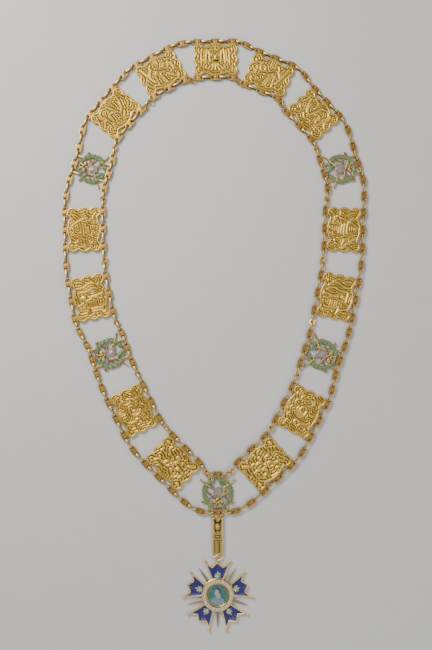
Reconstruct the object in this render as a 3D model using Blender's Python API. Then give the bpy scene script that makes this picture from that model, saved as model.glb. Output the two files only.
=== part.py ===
"""An order collar: thirteen lobed relief plaques and five pierced wreaths held between an outer
and an inner chain, with a star badge hanging below the lowest wreath from a fluted hanger.

Metres, +Z up. The collar lies on its back in an oval, the hanger and star towards -Y. The chains'
links are too fine for this model, so each chain is a closed round bar of the links' mean width.
"""

import math
from collections import namedtuple

import bmesh
import bpy
import numpy as np
from mathutils import Matrix, Vector

MM = 0.001

# Oval that the plates' centres follow, and the room left between neighbouring pieces
LOOP_HALF_WIDTH = 112 * MM
LOOP_HALF_HEIGHT = 187.5 * MM
CLEARANCE = 0.3 * MM

# Chains
CHAIN_DIAMETER = 3.4 * MM
CHAIN_LIFT = 0.2 * MM
LINK_FROM_END = 4.1 * MM  # from a plaque's end to the links soldered to its corner lobes
BAR_SPREAD = 7.5 * MM  # from a wreath's middle to the bars that hold its chains
WREATH_CHAIN_GAP = 1.0 * MM  # between a wreath and its chains, bridged by the bars

# Plaques
PLAQUE_LENGTH = 39 * MM
PLAQUE_HEIGHT = 28.8 * MM
PLAQUE_BACK = 1.4 * MM
PLAQUE_RIM_TOP = 2.6 * MM
PLAQUE_RIM_WIDTH = 1.3 * MM
CORNER_LOBE_RADIUS = 4.8 * MM
LONG_SIDE_NOTCH = 2.2 * MM
SHORT_SIDE_NOTCH = 1.9 * MM
NOTCH_FLOOR = 1.4 * MM
RELIEF_TOP = 3.0 * MM
RELIEF_SUNK = 0.5 * MM  # how far a raised form reaches into the plate under it
RELIEF_TAPER = 0.55  # width of a raised form's top as a share of its foot

# Wreaths
WREATH_RADIUS = 12.9 * MM
WREATH_BAND = 3.7 * MM
WREATH_OPENING = 13  # degrees to either side of the top
WREATH_BOTTOM = 0.6 * MM
WREATH_TOP = 2.4 * MM
LEAVES_PER_BRANCH = 6
LEAF_NOTCH = 0.9 * MM
BUTT_REACH = 2.4 * MM  # how far butts and muzzles stand out past the leaves
MUZZLE_REACH = 5.0 * MM
RIFLE_TURN = 34.5
RIFLE_RISE = 1.1 * MM  # of the rifles' crossing above the wreath's middle
RIFLE_BUTT = 2.6 * MM
RIFLE_BARREL = 1.2 * MM
BLADE_LENGTH = 13 * MM
HILT_LENGTH = 6.4 * MM
SWORD_WIDTH = 1.1 * MM
SWORD_TURN = 33
CROSSING_DEPTH = 4.4 * MM  # of the swords' crossing below the wreath's middle
SCROLL_WIDTH = 6.6 * MM
SCROLL_HEIGHT = 7.4 * MM
SCROLL_RISE = 2.2 * MM
SCROLL_TURN = -14
KNOT_RADIUS = 1.7 * MM
RIBBON_WIDTH = 1.6 * MM
BAR_RADIUS = 0.6 * MM

# Hanger
HANGER_WIDTH = 9.4 * MM
HANGER_LENGTH = 31.7 * MM
HANGER_BOTTOM = 0.5 * MM
HANGER_TOP = 3.0 * MM
NECK_WIDTH = 6.0 * MM
SHOULDER_DROP = 0.5 * MM
HOOK_RADIUS = 1.25 * MM
HOOK_WIRE = 0.42 * MM
HOOK_SPREAD = 3.9 * MM  # from the hanger's middle line to each hook's centre
PANEL_WIDTH = 5.2 * MM
PANEL_LENGTH = 12.4 * MM
PANEL_DEPTH = 1.0 * MM
PANEL_START = 1.3 * MM
BAND_LENGTH = 2.1 * MM
TABLET_WIDTH = 5.1 * MM
TABLET_HEIGHT = 3.1 * MM
TABLET_DEPTH = 0.7 * MM
STUD_WIDTH = 3.8 * MM
STUD_HEIGHT = 2.0 * MM
LEAF_WIDTH = 2.8 * MM
LEAF_LENGTH = 8.4 * MM
FLUTE_COUNT = 4
FLUTE_PITCH = 1.5 * MM
FLUTE_WIDTH = 0.8 * MM
FLUTE_DEPTH = 0.9 * MM
FLUTE_END = 1.0 * MM

# Lozenge ring between hanger and star, and the eyes that it passes through
LOZENGE_WIDTH = 8.4 * MM
LOZENGE_HEIGHT = 4.4 * MM
LOZENGE_WIRE = 0.45 * MM
EYE_WIRE = 0.35 * MM
EYE_SUNK = 0.25 * MM  # how far the middle of an eye's wire runs into its plate

# Medallion
MEDALLION_RADIUS = 9.3 * MM
MEDALLION_THICKNESS = 1.0 * MM
RING_WIDTH = 3.2 * MM
RING_THICKNESS = 1.6 * MM
CAMEO_HEIGHT = 0.8 * MM

# Star: an arm's lengths run from the star's centre, its half widths from its middle line
ARM_COUNT = 5
ARM_TIP = 26.6 * MM
ARM_CORNER = 26.3 * MM
ARM_CORNER_HALF = 10.4 * MM
ARM_NOTCH = 22.5 * MM
ARM_NOTCH_HALF = 4.5 * MM
ARM_INNER_HALF = 4.2 * MM
ARM_ROOT = 1.4 * MM  # how far arms and rays run into the hub
ARM_RIM = 1.0 * MM
STAR_BOTTOM = 0.4 * MM
CELL_FLOOR = 1.3 * MM
STAR_TOP = 2.4 * MM
ENAMEL_THICKNESS = 0.6 * MM
BALL_RADIUS = 1.05 * MM
BALL_REACH = 0.75 * MM  # from an arm's corner to its ball's centre
RAY_TIP = 26.2 * MM
RAY_WIDTH = 3.2 * MM
RAY_HEIGHT = 1.4 * MM
RAY_END = 0.6 * MM
HUB_INSET = 0.4 * MM  # how far the hub lies inside the medallion ring's edge
HUB_TOP = 1.6 * MM

CHAIN_AXIS = CHAIN_LIFT + CHAIN_DIAMETER / 2
PLAQUE_CHAIN_OFFSET = PLAQUE_HEIGHT / 2 + CLEARANCE + CHAIN_DIAMETER / 2
PLAQUE_LINK_SPAN = PLAQUE_LENGTH / 2 - LINK_FROM_END
WREATH_CHAIN_OFFSET = WREATH_RADIUS + WREATH_CHAIN_GAP + CHAIN_DIAMETER / 2
EYE_RADIUS = LOZENGE_WIRE + CLEARANCE + EYE_WIRE
EYE_DROP = EYE_RADIUS - EYE_SUNK
RING_INNER = MEDALLION_RADIUS + CLEARANCE
RING_OUTER = RING_INNER + RING_WIDTH
HUB_RADIUS = RING_OUTER - HUB_INSET
ARM_INNER = HUB_RADIUS - ARM_ROOT
SHARP_ANGLE = 35
FILL_TURN = 7

# Places round the oval, clockwise from the top: shares of its half width and half height, and the
# direction in degrees in which the chains run past
Place = namedtuple("Place", "kind x y turn")
PLACES = (
    Place("figure", 0.013, 1.0, 1),
    Place("scrolls", 0.43, 0.925, -23),
    Place("plumes", 0.775, 0.735, -48.5),
    Place("wreath", 0.985, 0.475, -73),
    Place("scrolls", 0.997, 0.19, -93),
    Place("figure", 0.933, -0.12, -101.5),
    Place("wreath", 0.82, -0.385, -109.5),
    Place("plumes", 0.657, -0.64, -117.5),
    Place("figure", 0.38, -0.87, -137.5),
    Place("wreath", 0.028, -1.0, 180),
    Place("figure", -0.307, -0.867, 135.5),
    Place("plumes", -0.6, -0.635, 116.5),
    Place("wreath", -0.788, -0.38, 109),
    Place("figure", -0.94, -0.125, 101.5),
    Place("scrolls", -0.997, 0.19, 92),
    Place("wreath", -0.947, 0.475, 73),
    Place("plumes", -0.766, 0.743, 51),
    Place("scrolls", -0.416, 0.937, 29),
)
LOWEST = min(PLACES, key=lambda place: place.y)  # the wreath that carries the hanger

# Raised forms of the plaques: a block of so many sides, its place in shares of the plaque's half
# length and half height, its own length and width in shares of the full ones, and its turn.
# A form off the middle line stands on both sides of it.
Form = namedtuple("Form", "sides x y length width turn")
RELIEFS = {
    "figure": (
        Form(8, 0.0, 0.18, 0.2, 0.4, 0),
        Form(4, 0.0, -0.56, 0.34, 0.2, 45),
        Form(4, 0.42, 0.12, 0.4, 0.13, 80),
        Form(6, 0.68, 0.5, 0.15, 0.2, 0),
        Form(6, 0.68, -0.5, 0.15, 0.2, 0),
        Form(4, 0.4, -0.6, 0.2, 0.16, 20),
    ),
    "scrolls": (
        Form(8, 0.0, 0.0, 0.24, 0.3, 22),
        Form(4, 0.4, 0.42, 0.34, 0.13, 38),
        Form(4, 0.4, -0.42, 0.34, 0.13, -38),
        Form(6, 0.7, 0.0, 0.13, 0.24, 0),
        Form(4, 0.0, 0.62, 0.24, 0.14, 0),
        Form(4, 0.0, -0.62, 0.24, 0.14, 0),
    ),
    "plumes": (
        Form(8, 0.0, -0.1, 0.22, 0.36, 0),
        Form(4, 0.22, 0.58, 0.2, 0.12, 55),
        Form(4, 0.42, 0.2, 0.34, 0.13, 68),
        Form(4, 0.62, 0.46, 0.2, 0.12, 60),
        Form(6, 0.56, -0.5, 0.22, 0.2, 0),
        Form(4, 0.0, -0.66, 0.26, 0.12, 0),
    ),
}

# Bottom and top of what lies in a wreath, as shares of the leaves' thickness from their underside
LAYERS = {
    "rifle": (0.17, 0.61),
    "sword": (0.28, 0.8),
    "scroll": (0.08, 1.28),
    "bird": (0.19, 1.17),
    "knot": (0.14, 1.22),
    "ribbon": (0.11, 0.89),
}

# Long-tailed bird that clings to a wreath's right branch: shares of the wreath's radius
BIRD_OUTLINE = (
    (0.05, 0.9),
    (0.09, 0.76),
    (0.15, 0.57),
    (0.36, 0.31),
    (0.5, -0.11),
    (0.54, 0.36),
    (0.4, 0.7),
    (0.23, 0.93),
)

# Sprigs beside the medallion's bust: first and last direction in degrees
SPRIGS = ((150, 235), (-55, 30))
SPRIG_INNER = 0.7  # shares of the medallion's radius
SPRIG_OUTER = 0.84

# Bust in profile on the medallion: shares of the medallion's radius
CAMEO_OUTLINE = (
    (-0.42, -0.62),
    (0.5, -0.62),
    (0.46, -0.34),
    (0.2, -0.22),
    (0.24, 0.08),
    (0.36, 0.34),
    (0.22, 0.58),
    (-0.1, 0.62),
    (-0.26, 0.42),
    (-0.24, 0.24),
    (-0.36, 0.12),
    (-0.22, -0.06),
    (-0.08, -0.1),
    (-0.1, -0.26),
    (-0.36, -0.36),
)


def clear_scene():
    for found in list(bpy.data.objects):
        bpy.data.objects.remove(found, do_unlink=True)


def new_collection(name):
    made = bpy.data.collections.new(name)
    bpy.context.scene.collection.children.link(made)
    return made


def new_material(name, color, roughness, metallic):
    made = bpy.data.materials.new(name)
    made.use_nodes = True
    shader = made.node_tree.nodes["Principled BSDF"]
    shader.inputs["Base Color"].default_value = (*color, 1)
    shader.inputs["Roughness"].default_value = roughness
    shader.inputs["Metallic"].default_value = metallic
    return made


def polar(radius, degrees, centre=(0, 0)):
    """The point at this distance and direction from the centre."""
    turn = math.radians(degrees)
    return (centre[0] + radius * math.cos(turn), centre[1] + radius * math.sin(turn))


def arc(centre, radius, start, end, steps):
    return [polar(radius, start + (end - start) * i / steps, centre) for i in range(steps + 1)]


def turned(points, degrees):
    turn = math.radians(degrees)
    cos, sin = math.cos(turn), math.sin(turn)
    return [(x * cos - y * sin, x * sin + y * cos) for x, y in points]


def inset_outline(points, distance):
    """The outline moved inwards by this distance, with mitred corners; the points run anticlockwise."""
    line = np.array(points)
    ahead = np.roll(line, -1, axis=0) - line
    ahead /= np.linalg.norm(ahead, axis=1)[:, None]
    after = np.stack([-ahead[:, 1], ahead[:, 0]], axis=1)
    before = np.roll(after, 1, axis=0)
    share = 1 + (before * after).sum(axis=1)
    return [tuple(point) for point in line + distance * (before + after) / share[:, None]]


def as_mesh(made):
    """The evaluated shape of an object as a closed mesh in world space; the object is removed."""
    bpy.context.view_layer.update()
    graph = bpy.context.evaluated_depsgraph_get()
    mesh = bpy.data.meshes.new_from_object(made.evaluated_get(graph))
    mesh.transform(made.matrix_world)
    bpy.data.objects.remove(made, do_unlink=True)
    shape = bmesh.new()
    shape.from_mesh(mesh)
    bmesh.ops.remove_doubles(shape, verts=shape.verts, dist=0.001 * MM)
    bmesh.ops.recalc_face_normals(shape, faces=shape.faces)
    shape.to_mesh(mesh)
    shape.free()
    return mesh


def flat_piece(outlines, bottom, top):
    """A plate with this outline between two heights; further outlines are holes in it.

    It is filled in a frame turned by FILL_TURN, in which no two corners lie level.
    """
    curve = bpy.data.curves.new("outline", "CURVE")
    curve.dimensions = "2D"
    curve.fill_mode = "BOTH"
    curve.extrude = (top - bottom) / 2
    for outline in outlines:
        spline = curve.splines.new("POLY")
        spline.points.add(len(outline) - 1)
        for point, (x, y) in zip(spline.points, turned(outline, -FILL_TURN)):
            point.co = (x, y, 0, 1)
        spline.use_cyclic_u = True
    made = bpy.data.objects.new("plate", curve)
    made.location.z = (top + bottom) / 2
    made.rotation_euler.z = math.radians(FILL_TURN)
    bpy.context.scene.collection.objects.link(made)
    return as_mesh(made)


def wire(points, radius, resolution=2):
    """A closed round bar through the points."""
    curve = bpy.data.curves.new("route", "CURVE")
    curve.dimensions = "3D"
    curve.bevel_depth = radius
    curve.bevel_resolution = resolution
    spline = curve.splines.new("POLY")
    spline.points.add(len(points) - 1)
    for point, place in zip(spline.points, points):
        point.co = (*place, 1)
    spline.use_cyclic_u = True
    made = bpy.data.objects.new("wire", curve)
    bpy.context.scene.collection.objects.link(made)
    return as_mesh(made)


def shape_mesh(build, **settings):
    """A mesh from one of bmesh's primitives."""
    shape = bmesh.new()
    build(shape, **settings)
    mesh = bpy.data.meshes.new("shape")
    shape.to_mesh(mesh)
    shape.free()
    return mesh


def block(sides, length, width, bottom, top, taper, place=(0, 0), turn=0):
    """A raised block that narrows towards its top, for relief work; 4 sides make a lozenge."""
    fit = (
        Matrix.Translation((*place, (bottom + top) / 2))
        @ Matrix.Rotation(math.radians(turn), 4, "Z")
        @ Matrix.Diagonal((length, width, top - bottom, 1))
    )
    return shape_mesh(
        bmesh.ops.create_cone,
        cap_ends=True,
        segments=sides,
        radius1=0.5,
        radius2=0.5 * taper,
        depth=1,
        matrix=fit,
    )


def box(length, width, bottom, top, place=(0, 0), turn=0):
    fit = (
        Matrix.Translation((*place, (bottom + top) / 2))
        @ Matrix.Rotation(math.radians(turn), 4, "Z")
        @ Matrix.Diagonal((length, width, top - bottom, 1))
    )
    return shape_mesh(bmesh.ops.create_cube, size=1, matrix=fit)


def rod(start, end, radius, sides=6, end_radius=None):
    """A round bar, or a taper, from one point to another."""
    start = Vector(start)
    way = Vector(end) - start
    fit = Matrix.Translation(start + way / 2) @ way.to_track_quat("Z", "X").to_matrix().to_4x4()
    return shape_mesh(
        bmesh.ops.create_cone,
        cap_ends=True,
        segments=sides,
        radius1=radius,
        radius2=radius if end_radius is None else end_radius,
        depth=way.length,
        matrix=fit,
    )


def eye(centre, radius, wire_radius, axis, steps=8):
    """A small closed ring about an axis, X or Z."""
    ring = []
    for i in range(steps):
        across, along = polar(radius, 360 * i / steps)
        ring.append((0, across, along) if axis == "X" else (across, along, 0))
    places = [tuple(Vector(centre) + Vector(point)) for point in ring]
    return wire(places, wire_radius, 0)


def combined(first, others, operation="UNION"):
    """One mesh from the first and the others, joined to it or cut from it one after another."""
    made = bpy.data.objects.new("combined", first)
    bpy.context.scene.collection.objects.link(made)
    tools = []
    for mesh in others:
        tool = bpy.data.objects.new("tool", mesh)
        cutters.objects.link(tool)
        tool.hide_render = True
        tool.display_type = "WIRE"
        tools.append(tool)
        step = made.modifiers.new(operation.lower(), "BOOLEAN")
        step.operation = operation
        step.object = tool
    mesh = as_mesh(made)
    for tool in tools:
        bpy.data.objects.remove(tool, do_unlink=True)
    return mesh


def rimmed_plate(outline, bottom, floor, top, rim):
    """A plate with this outline, sunk to its floor inside a raised rim."""
    plate = flat_piece([outline], bottom, top)
    field = flat_piece([inset_outline(outline, rim)], floor, top + 1 * MM)
    return combined(plate, [field], "DIFFERENCE")


def add_part(name, mesh, material, place=(0, 0, 0), turn=0):
    """A finished piece of the collar: its own object, on the collar's origin."""
    made = bpy.data.objects.new(name, mesh)
    if not mesh.materials:
        mesh.materials.append(material)
        mesh.shade_smooth()
        mesh.set_sharp_from_angle(angle=math.radians(SHARP_ANGLE))
    parts.objects.link(made)
    made.parent = origin
    made.location = place
    made.rotation_euler.z = math.radians(turn)
    return made


def lobed_outline():
    """A plaque's outline: corner lobes, a shallow lobe on each side, notches between them."""
    half_length = PLAQUE_LENGTH / 2
    half_height = PLAQUE_HEIGHT / 2
    radius = CORNER_LOBE_RADIUS
    corner = (half_length - radius, half_height - radius)
    rise = math.degrees(math.asin(1 - LONG_SIDE_NOTCH / radius))
    fall = math.degrees(math.acos(1 - SHORT_SIDE_NOTCH / radius))
    lobe = arc(corner, radius, -fall, 180 - rise, 5)

    chord = lobe[0][1] - NOTCH_FLOOR
    end_radius = (chord**2 + SHORT_SIDE_NOTCH**2) / (2 * SHORT_SIDE_NOTCH)
    end_turn = math.degrees(math.asin(chord / end_radius))
    end_lobe = arc((half_length - end_radius, 0), end_radius, 0, end_turn, 2)

    chord = lobe[-1][0] - NOTCH_FLOOR
    long_radius = (chord**2 + LONG_SIDE_NOTCH**2) / (2 * LONG_SIDE_NOTCH)
    long_turn = math.degrees(math.asin(chord / long_radius))
    long_lobe = arc((0, half_height - long_radius), long_radius, 90 - long_turn, 90, 3)

    quarter = end_lobe + lobe + long_lobe
    upper = quarter + [(-x, y) for x, y in reversed(quarter[:-1])]
    return upper + [(x, -y) for x, y in reversed(upper[1:-1])]


def plaque_mesh(forms):
    plate = rimmed_plate(lobed_outline(), 0, PLAQUE_BACK, PLAQUE_RIM_TOP, PLAQUE_RIM_WIDTH)
    reliefs = []
    for form in forms:
        for side in (1, -1) if form.x else (1,):
            reliefs.append(
                block(
                    form.sides,
                    form.length * PLAQUE_LENGTH,
                    form.width * PLAQUE_HEIGHT,
                    PLAQUE_BACK - RELIEF_SUNK,
                    RELIEF_TOP,
                    RELIEF_TAPER,
                    (side * form.x * PLAQUE_LENGTH / 2, form.y * PLAQUE_HEIGHT / 2),
                    side * form.turn,
                )
            )
    return combined(plate, reliefs)


def wreath_outline():
    """Two leafy branches that leave the top open: leaf tips outside, a plain inner edge."""
    leaves = 2 * LEAVES_PER_BRANCH
    start = 90 + WREATH_OPENING
    sweep = 360 - 2 * WREATH_OPENING
    outer = []
    for i in range(leaves):
        # Each leaf's tip points up its branch, so the right half mirrors the left
        tip = 0.15 if i < LEAVES_PER_BRANCH else 0.85
        outer.append(polar(WREATH_RADIUS - LEAF_NOTCH, start + sweep * i / leaves))
        outer.append(polar(WREATH_RADIUS, start + sweep * (i + tip) / leaves))
    outer.append(polar(WREATH_RADIUS - LEAF_NOTCH, start + sweep))
    inner = arc((0, 0), WREATH_RADIUS - WREATH_BAND, start + sweep, start, 12)
    return outer + inner


def layer(name):
    """Bottom and top of one of the things that lie in a wreath."""
    return [WREATH_BOTTOM + share * (WREATH_TOP - WREATH_BOTTOM) for share in LAYERS[name]]


def rifle(side):
    """A rifle that lies across the wreath, its butt low on this side and its muzzle high opposite."""
    butt = -WREATH_RADIUS - BUTT_REACH
    muzzle = WREATH_RADIUS + MUZZLE_REACH
    outline = [
        (butt, -RIFLE_BUTT / 2),
        (butt, RIFLE_BUTT / 2),
        (0.55 * butt, RIFLE_BARREL / 2),
        (muzzle, RIFLE_BARREL / 2),
        (muzzle, -RIFLE_BARREL / 2),
        (0.35 * butt, -RIFLE_BARREL / 2),
    ]
    turn = 180 - RIFLE_TURN if side > 0 else RIFLE_TURN
    outline = [(x, y + RIFLE_RISE) for x, y in turned(outline, turn)]
    return flat_piece([outline], *layer("rifle"))


def sword(side):
    """A sword that leans to this side, through the crossing point."""
    crossing = (0, -CROSSING_DEPTH)
    middle = polar((BLADE_LENGTH - HILT_LENGTH) / 2, 90 - side * (90 - SWORD_TURN), crossing)
    length = BLADE_LENGTH + HILT_LENGTH
    return box(length, SWORD_WIDTH, *layer("sword"), middle, side * SWORD_TURN)


def wreath_mesh():
    """Leaf ring, crossed rifles and swords, scroll, bird and knot, soldered into one pierced plate."""
    ring = flat_piece([wreath_outline()], WREATH_BOTTOM, WREATH_TOP)
    scroll = box(SCROLL_WIDTH, SCROLL_HEIGHT, *layer("scroll"), (0, SCROLL_RISE), SCROLL_TURN)
    bird_outline = [(x * WREATH_RADIUS, y * WREATH_RADIUS) for x, y in BIRD_OUTLINE]
    bird = flat_piece([bird_outline], *layer("bird"))
    crossing = (0, -CROSSING_DEPTH)
    knot = block(6, 2 * KNOT_RADIUS, 2 * KNOT_RADIUS, *layer("knot"), RELIEF_TAPER, crossing)
    ribbon_end = WREATH_RADIUS - WREATH_BAND / 2
    ribbon_length = ribbon_end - CROSSING_DEPTH
    ribbon_middle = (0, -(ribbon_end + CROSSING_DEPTH) / 2)
    ribbon = box(RIBBON_WIDTH, ribbon_length, *layer("ribbon"), ribbon_middle)
    pieces = [rifle(1), rifle(-1), sword(1), sword(-1), scroll, bird, knot, ribbon]
    height = (WREATH_BOTTOM + WREATH_TOP) / 2
    reach = WREATH_CHAIN_OFFSET - CHAIN_DIAMETER / 2 - CLEARANCE
    for side in (1, -1):
        for way in (1, -1):
            start = (side * BAR_SPREAD, way * (WREATH_RADIUS - WREATH_BAND), height)
            pieces.append(rod(start, (start[0], way * reach, height), BAR_RADIUS))
    return combined(ring, pieces)


def chain_route(side):
    """Points of a chain: straight past each plate, and a smooth cubic from plate to plate."""
    stations = []
    for place in PLACES:
        is_wreath = place.kind == "wreath"
        span = BAR_SPREAD if is_wreath else PLAQUE_LINK_SPAN
        offset = side * (WREATH_CHAIN_OFFSET if is_wreath else PLAQUE_CHAIN_OFFSET)
        along = np.array(polar(1, place.turn))
        outward = np.array(polar(1, place.turn + 90))
        centre = np.array((place.x * LOOP_HALF_WIDTH, place.y * LOOP_HALF_HEIGHT))
        middle = centre + offset * outward
        stations += [(middle - span * along, along), (middle + span * along, along)]
    points = []
    for i in range(1, len(stations), 2):
        start, leaving = stations[i]
        end, arriving = stations[(i + 1) % len(stations)]
        reach = np.linalg.norm(end - start)
        for share in (0, 1 / 3, 2 / 3, 1):
            points.append(
                (2 * share**3 - 3 * share**2 + 1) * start
                + (share**3 - 2 * share**2 + share) * reach * leaving
                + (3 * share**2 - 2 * share**3) * end
                + (share**3 - share**2) * reach * arriving
            )
    return [(float(x), float(y), CHAIN_AXIS) for x, y in points]


def hanger_mesh():
    """Plate with an arched neck between two hooks, an eye below, a sunk panel, a tablet and flutes.

    The top of the neck and of the hooks is at y = 0.
    """
    half = HANGER_WIDTH / 2
    neck = NECK_WIDTH / 2
    shoulder = -neck - SHOULDER_DROP
    outline = [
        (-half, -HANGER_LENGTH),
        (half, -HANGER_LENGTH),
        (half, shoulder),
        *arc((0, -neck), neck, 0, 180, 6),
        (-half, shoulder),
    ]
    plate = flat_piece([outline], HANGER_BOTTOM, HANGER_TOP)
    hooks = []
    for side in (1, -1):
        hook_place = (side * HOOK_SPREAD, -HOOK_RADIUS - HOOK_WIRE, CHAIN_AXIS)
        hooks.append(eye(hook_place, HOOK_RADIUS, HOOK_WIRE, "Z"))
    lower_eye = eye((0, -HANGER_LENGTH - EYE_DROP, CHAIN_AXIS), EYE_RADIUS, EYE_WIRE, "X")
    body = combined(plate, [*hooks, lower_eye])

    above = HANGER_TOP + 1 * MM
    panel_end = -PANEL_START - PANEL_LENGTH
    arch_radius = PANEL_WIDTH / 2
    panel = arc((0, -PANEL_START - arch_radius), arch_radius, 0, 180, 6)
    panel = [(arch_radius, panel_end), *panel, (-arch_radius, panel_end)]
    cuts = [flat_piece([panel], HANGER_TOP - PANEL_DEPTH, above)]

    tablet_y = panel_end - BAND_LENGTH - TABLET_HEIGHT / 2
    tablet_floor = HANGER_TOP - TABLET_DEPTH
    cuts.append(box(TABLET_WIDTH, TABLET_HEIGHT, tablet_floor, above, (0, tablet_y)))

    flute_top = tablet_y - TABLET_HEIGHT / 2 - BAND_LENGTH
    flute_length = HANGER_LENGTH - FLUTE_END + flute_top
    for i in range(FLUTE_COUNT):
        place = ((i - (FLUTE_COUNT - 1) / 2) * FLUTE_PITCH, flute_top - flute_length / 2)
        cuts.append(box(FLUTE_WIDTH, flute_length, HANGER_TOP - FLUTE_DEPTH, above, place))
    body = combined(body, cuts, "DIFFERENCE")

    stud_foot = tablet_floor - RELIEF_SUNK
    stud = block(4, STUD_WIDTH, STUD_HEIGHT, stud_foot, HANGER_TOP, RELIEF_TAPER, (0, tablet_y))
    panel_foot = HANGER_TOP - PANEL_DEPTH - RELIEF_SUNK
    leaf_place = (0, -PANEL_START - PANEL_LENGTH / 2)
    leaf = block(6, LEAF_WIDTH, LEAF_LENGTH, panel_foot, HANGER_TOP, RELIEF_TAPER, leaf_place)
    return combined(body, [stud, leaf])


def lozenge_mesh():
    """Lozenge-shaped ring, its top corner at y = 0."""
    corners = [
        (0, 0, CHAIN_AXIS),
        (-LOZENGE_WIDTH / 2, -LOZENGE_HEIGHT / 2, CHAIN_AXIS),
        (0, -LOZENGE_HEIGHT, CHAIN_AXIS),
        (LOZENGE_WIDTH / 2, -LOZENGE_HEIGHT / 2, CHAIN_AXIS),
    ]
    return wire(corners, LOZENGE_WIRE)


def arm_outline():
    """One arm of the star, pointing along +Y: straight flaring sides and a three-pointed end."""
    return [
        (-ARM_INNER_HALF, ARM_INNER),
        (ARM_INNER_HALF, ARM_INNER),
        (ARM_CORNER_HALF, ARM_CORNER),
        (ARM_NOTCH_HALF, ARM_NOTCH),
        (0, ARM_TIP),
        (-ARM_NOTCH_HALF, ARM_NOTCH),
        (-ARM_CORNER_HALF, ARM_CORNER),
    ]


def turned_mesh(mesh, degrees):
    copy = mesh.copy()
    copy.transform(Matrix.Rotation(math.radians(degrees), 4, "Z"))
    return copy


def star_mesh():
    """Hub, rimmed arms with balls on their corners, and rays between the arms, soldered together."""
    hub = block(30, 2 * HUB_RADIUS, 2 * HUB_RADIUS, 0, STAR_TOP, 1, turn=5)
    arm = rimmed_plate(arm_outline(), STAR_BOTTOM, CELL_FLOOR, STAR_TOP, ARM_RIM)
    middle = (STAR_BOTTOM + STAR_TOP) / 2
    corner_reach = math.hypot(ARM_CORNER, ARM_CORNER_HALF)
    balls = []
    for side in (1, -1):
        share = 1 + BALL_REACH / corner_reach
        place = Vector((side * ARM_CORNER_HALF * share, ARM_CORNER * share, middle))
        balls.append(
            shape_mesh(
                bmesh.ops.create_uvsphere,
                u_segments=6,
                v_segments=4,
                radius=BALL_RADIUS,
                matrix=Matrix.Translation(place),
            )
        )
    arm = combined(arm, balls)
    ray = rod((0, ARM_INNER, 0), (0, RAY_TIP, 0), RAY_WIDTH / 2, 4, RAY_END / 2)
    ray.transform(Matrix.Diagonal((1, 1, RAY_HEIGHT / RAY_WIDTH, 1)))
    ray.transform(Matrix.Translation((0, 0, middle)))
    pitch = 360 / ARM_COUNT
    pieces = []
    for i in range(ARM_COUNT):
        pieces += [turned_mesh(arm, i * pitch), turned_mesh(ray, (i + 0.5) * pitch)]
    pieces.append(eye((0, ARM_TIP + EYE_DROP, CHAIN_AXIS), EYE_RADIUS, EYE_WIRE, "X"))
    seat_radius = RING_OUTER + CLEARANCE
    seat = block(30, 2 * seat_radius, 2 * seat_radius, HUB_TOP, STAR_TOP + 1 * MM, 1, turn=5)
    return combined(combined(hub, pieces), [seat], "DIFFERENCE")


def enamel_mesh():
    """Enamel field of one arm, along +Y, which fills the cell inside the rim."""
    field = inset_outline(arm_outline(), ARM_RIM + CLEARANCE)
    ring_edge = RING_OUTER + 2 * CLEARANCE
    slope = (ARM_CORNER_HALF - ARM_INNER_HALF) / (ARM_CORNER - ARM_INNER)
    inner_half = field[1][0] + slope * (ring_edge - field[1][1])
    field[0] = (-inner_half, ring_edge)
    field[1] = (inner_half, ring_edge)
    bottom = CELL_FLOOR + CLEARANCE
    return flat_piece([field], bottom, bottom + ENAMEL_THICKNESS)


def medallion_ring_mesh():
    rings = [arc((0, 0), radius, 0, 360, 32)[:-1] for radius in (RING_OUTER, RING_INNER)]
    bottom = HUB_TOP + CLEARANCE
    return flat_piece(rings, bottom, bottom + RING_THICKNESS)


def medallion_mesh():
    """Disc with a bust in profile and two sprigs in relief."""
    bottom = HUB_TOP + CLEARANCE
    top = bottom + MEDALLION_THICKNESS
    disc = block(32, 2 * MEDALLION_RADIUS, 2 * MEDALLION_RADIUS, bottom, top, 1)
    bust = [(x * MEDALLION_RADIUS, y * MEDALLION_RADIUS) for x, y in CAMEO_OUTLINE]
    reliefs = [flat_piece([bust], top - RELIEF_SUNK, top + CAMEO_HEIGHT)]
    for start, end in SPRIGS:
        sprig = arc((0, 0), SPRIG_OUTER * MEDALLION_RADIUS, start, end, 5)
        sprig += arc((0, 0), SPRIG_INNER * MEDALLION_RADIUS, end, start, 5)
        reliefs.append(flat_piece([sprig], top - RELIEF_SUNK, top + CAMEO_HEIGHT / 2))
    return combined(disc, reliefs)


clear_scene()
parts = new_collection("order_collar")
cutters = new_collection("cutters")
origin = bpy.data.objects.new("collar_origin", None)
parts.objects.link(origin)

gold = new_material("gilt_metal", (0.62, 0.42, 0.16), 0.35, 1)
green_enamel = new_material("green_enamel", (0.16, 0.32, 0.18), 0.3, 0)
blue_enamel = new_material("blue_enamel", (0.03, 0.05, 0.26), 0.2, 0)
cream_enamel = new_material("cream_enamel", (0.68, 0.62, 0.48), 0.3, 0)
teal_enamel = new_material("teal_enamel", (0.05, 0.3, 0.32), 0.25, 0)

meshes = {kind: plaque_mesh(forms) for kind, forms in RELIEFS.items()}
meshes["wreath"] = wreath_mesh()
for number, place in enumerate(PLACES, 1):
    centre = (place.x * LOOP_HALF_WIDTH, place.y * LOOP_HALF_HEIGHT, 0)
    if place.kind == "wreath":
        # The open end of a wreath looks into the oval
        add_part(f"wreath_{number:02d}", meshes["wreath"], green_enamel, centre, place.turn + 180)
    else:
        add_part(f"plaque_{number:02d}", meshes[place.kind], gold, centre, place.turn)

add_part("outer_chain", wire(chain_route(1), CHAIN_DIAMETER / 2), gold)
add_part("inner_chain", wire(chain_route(-1), CHAIN_DIAMETER / 2), gold)

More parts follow.
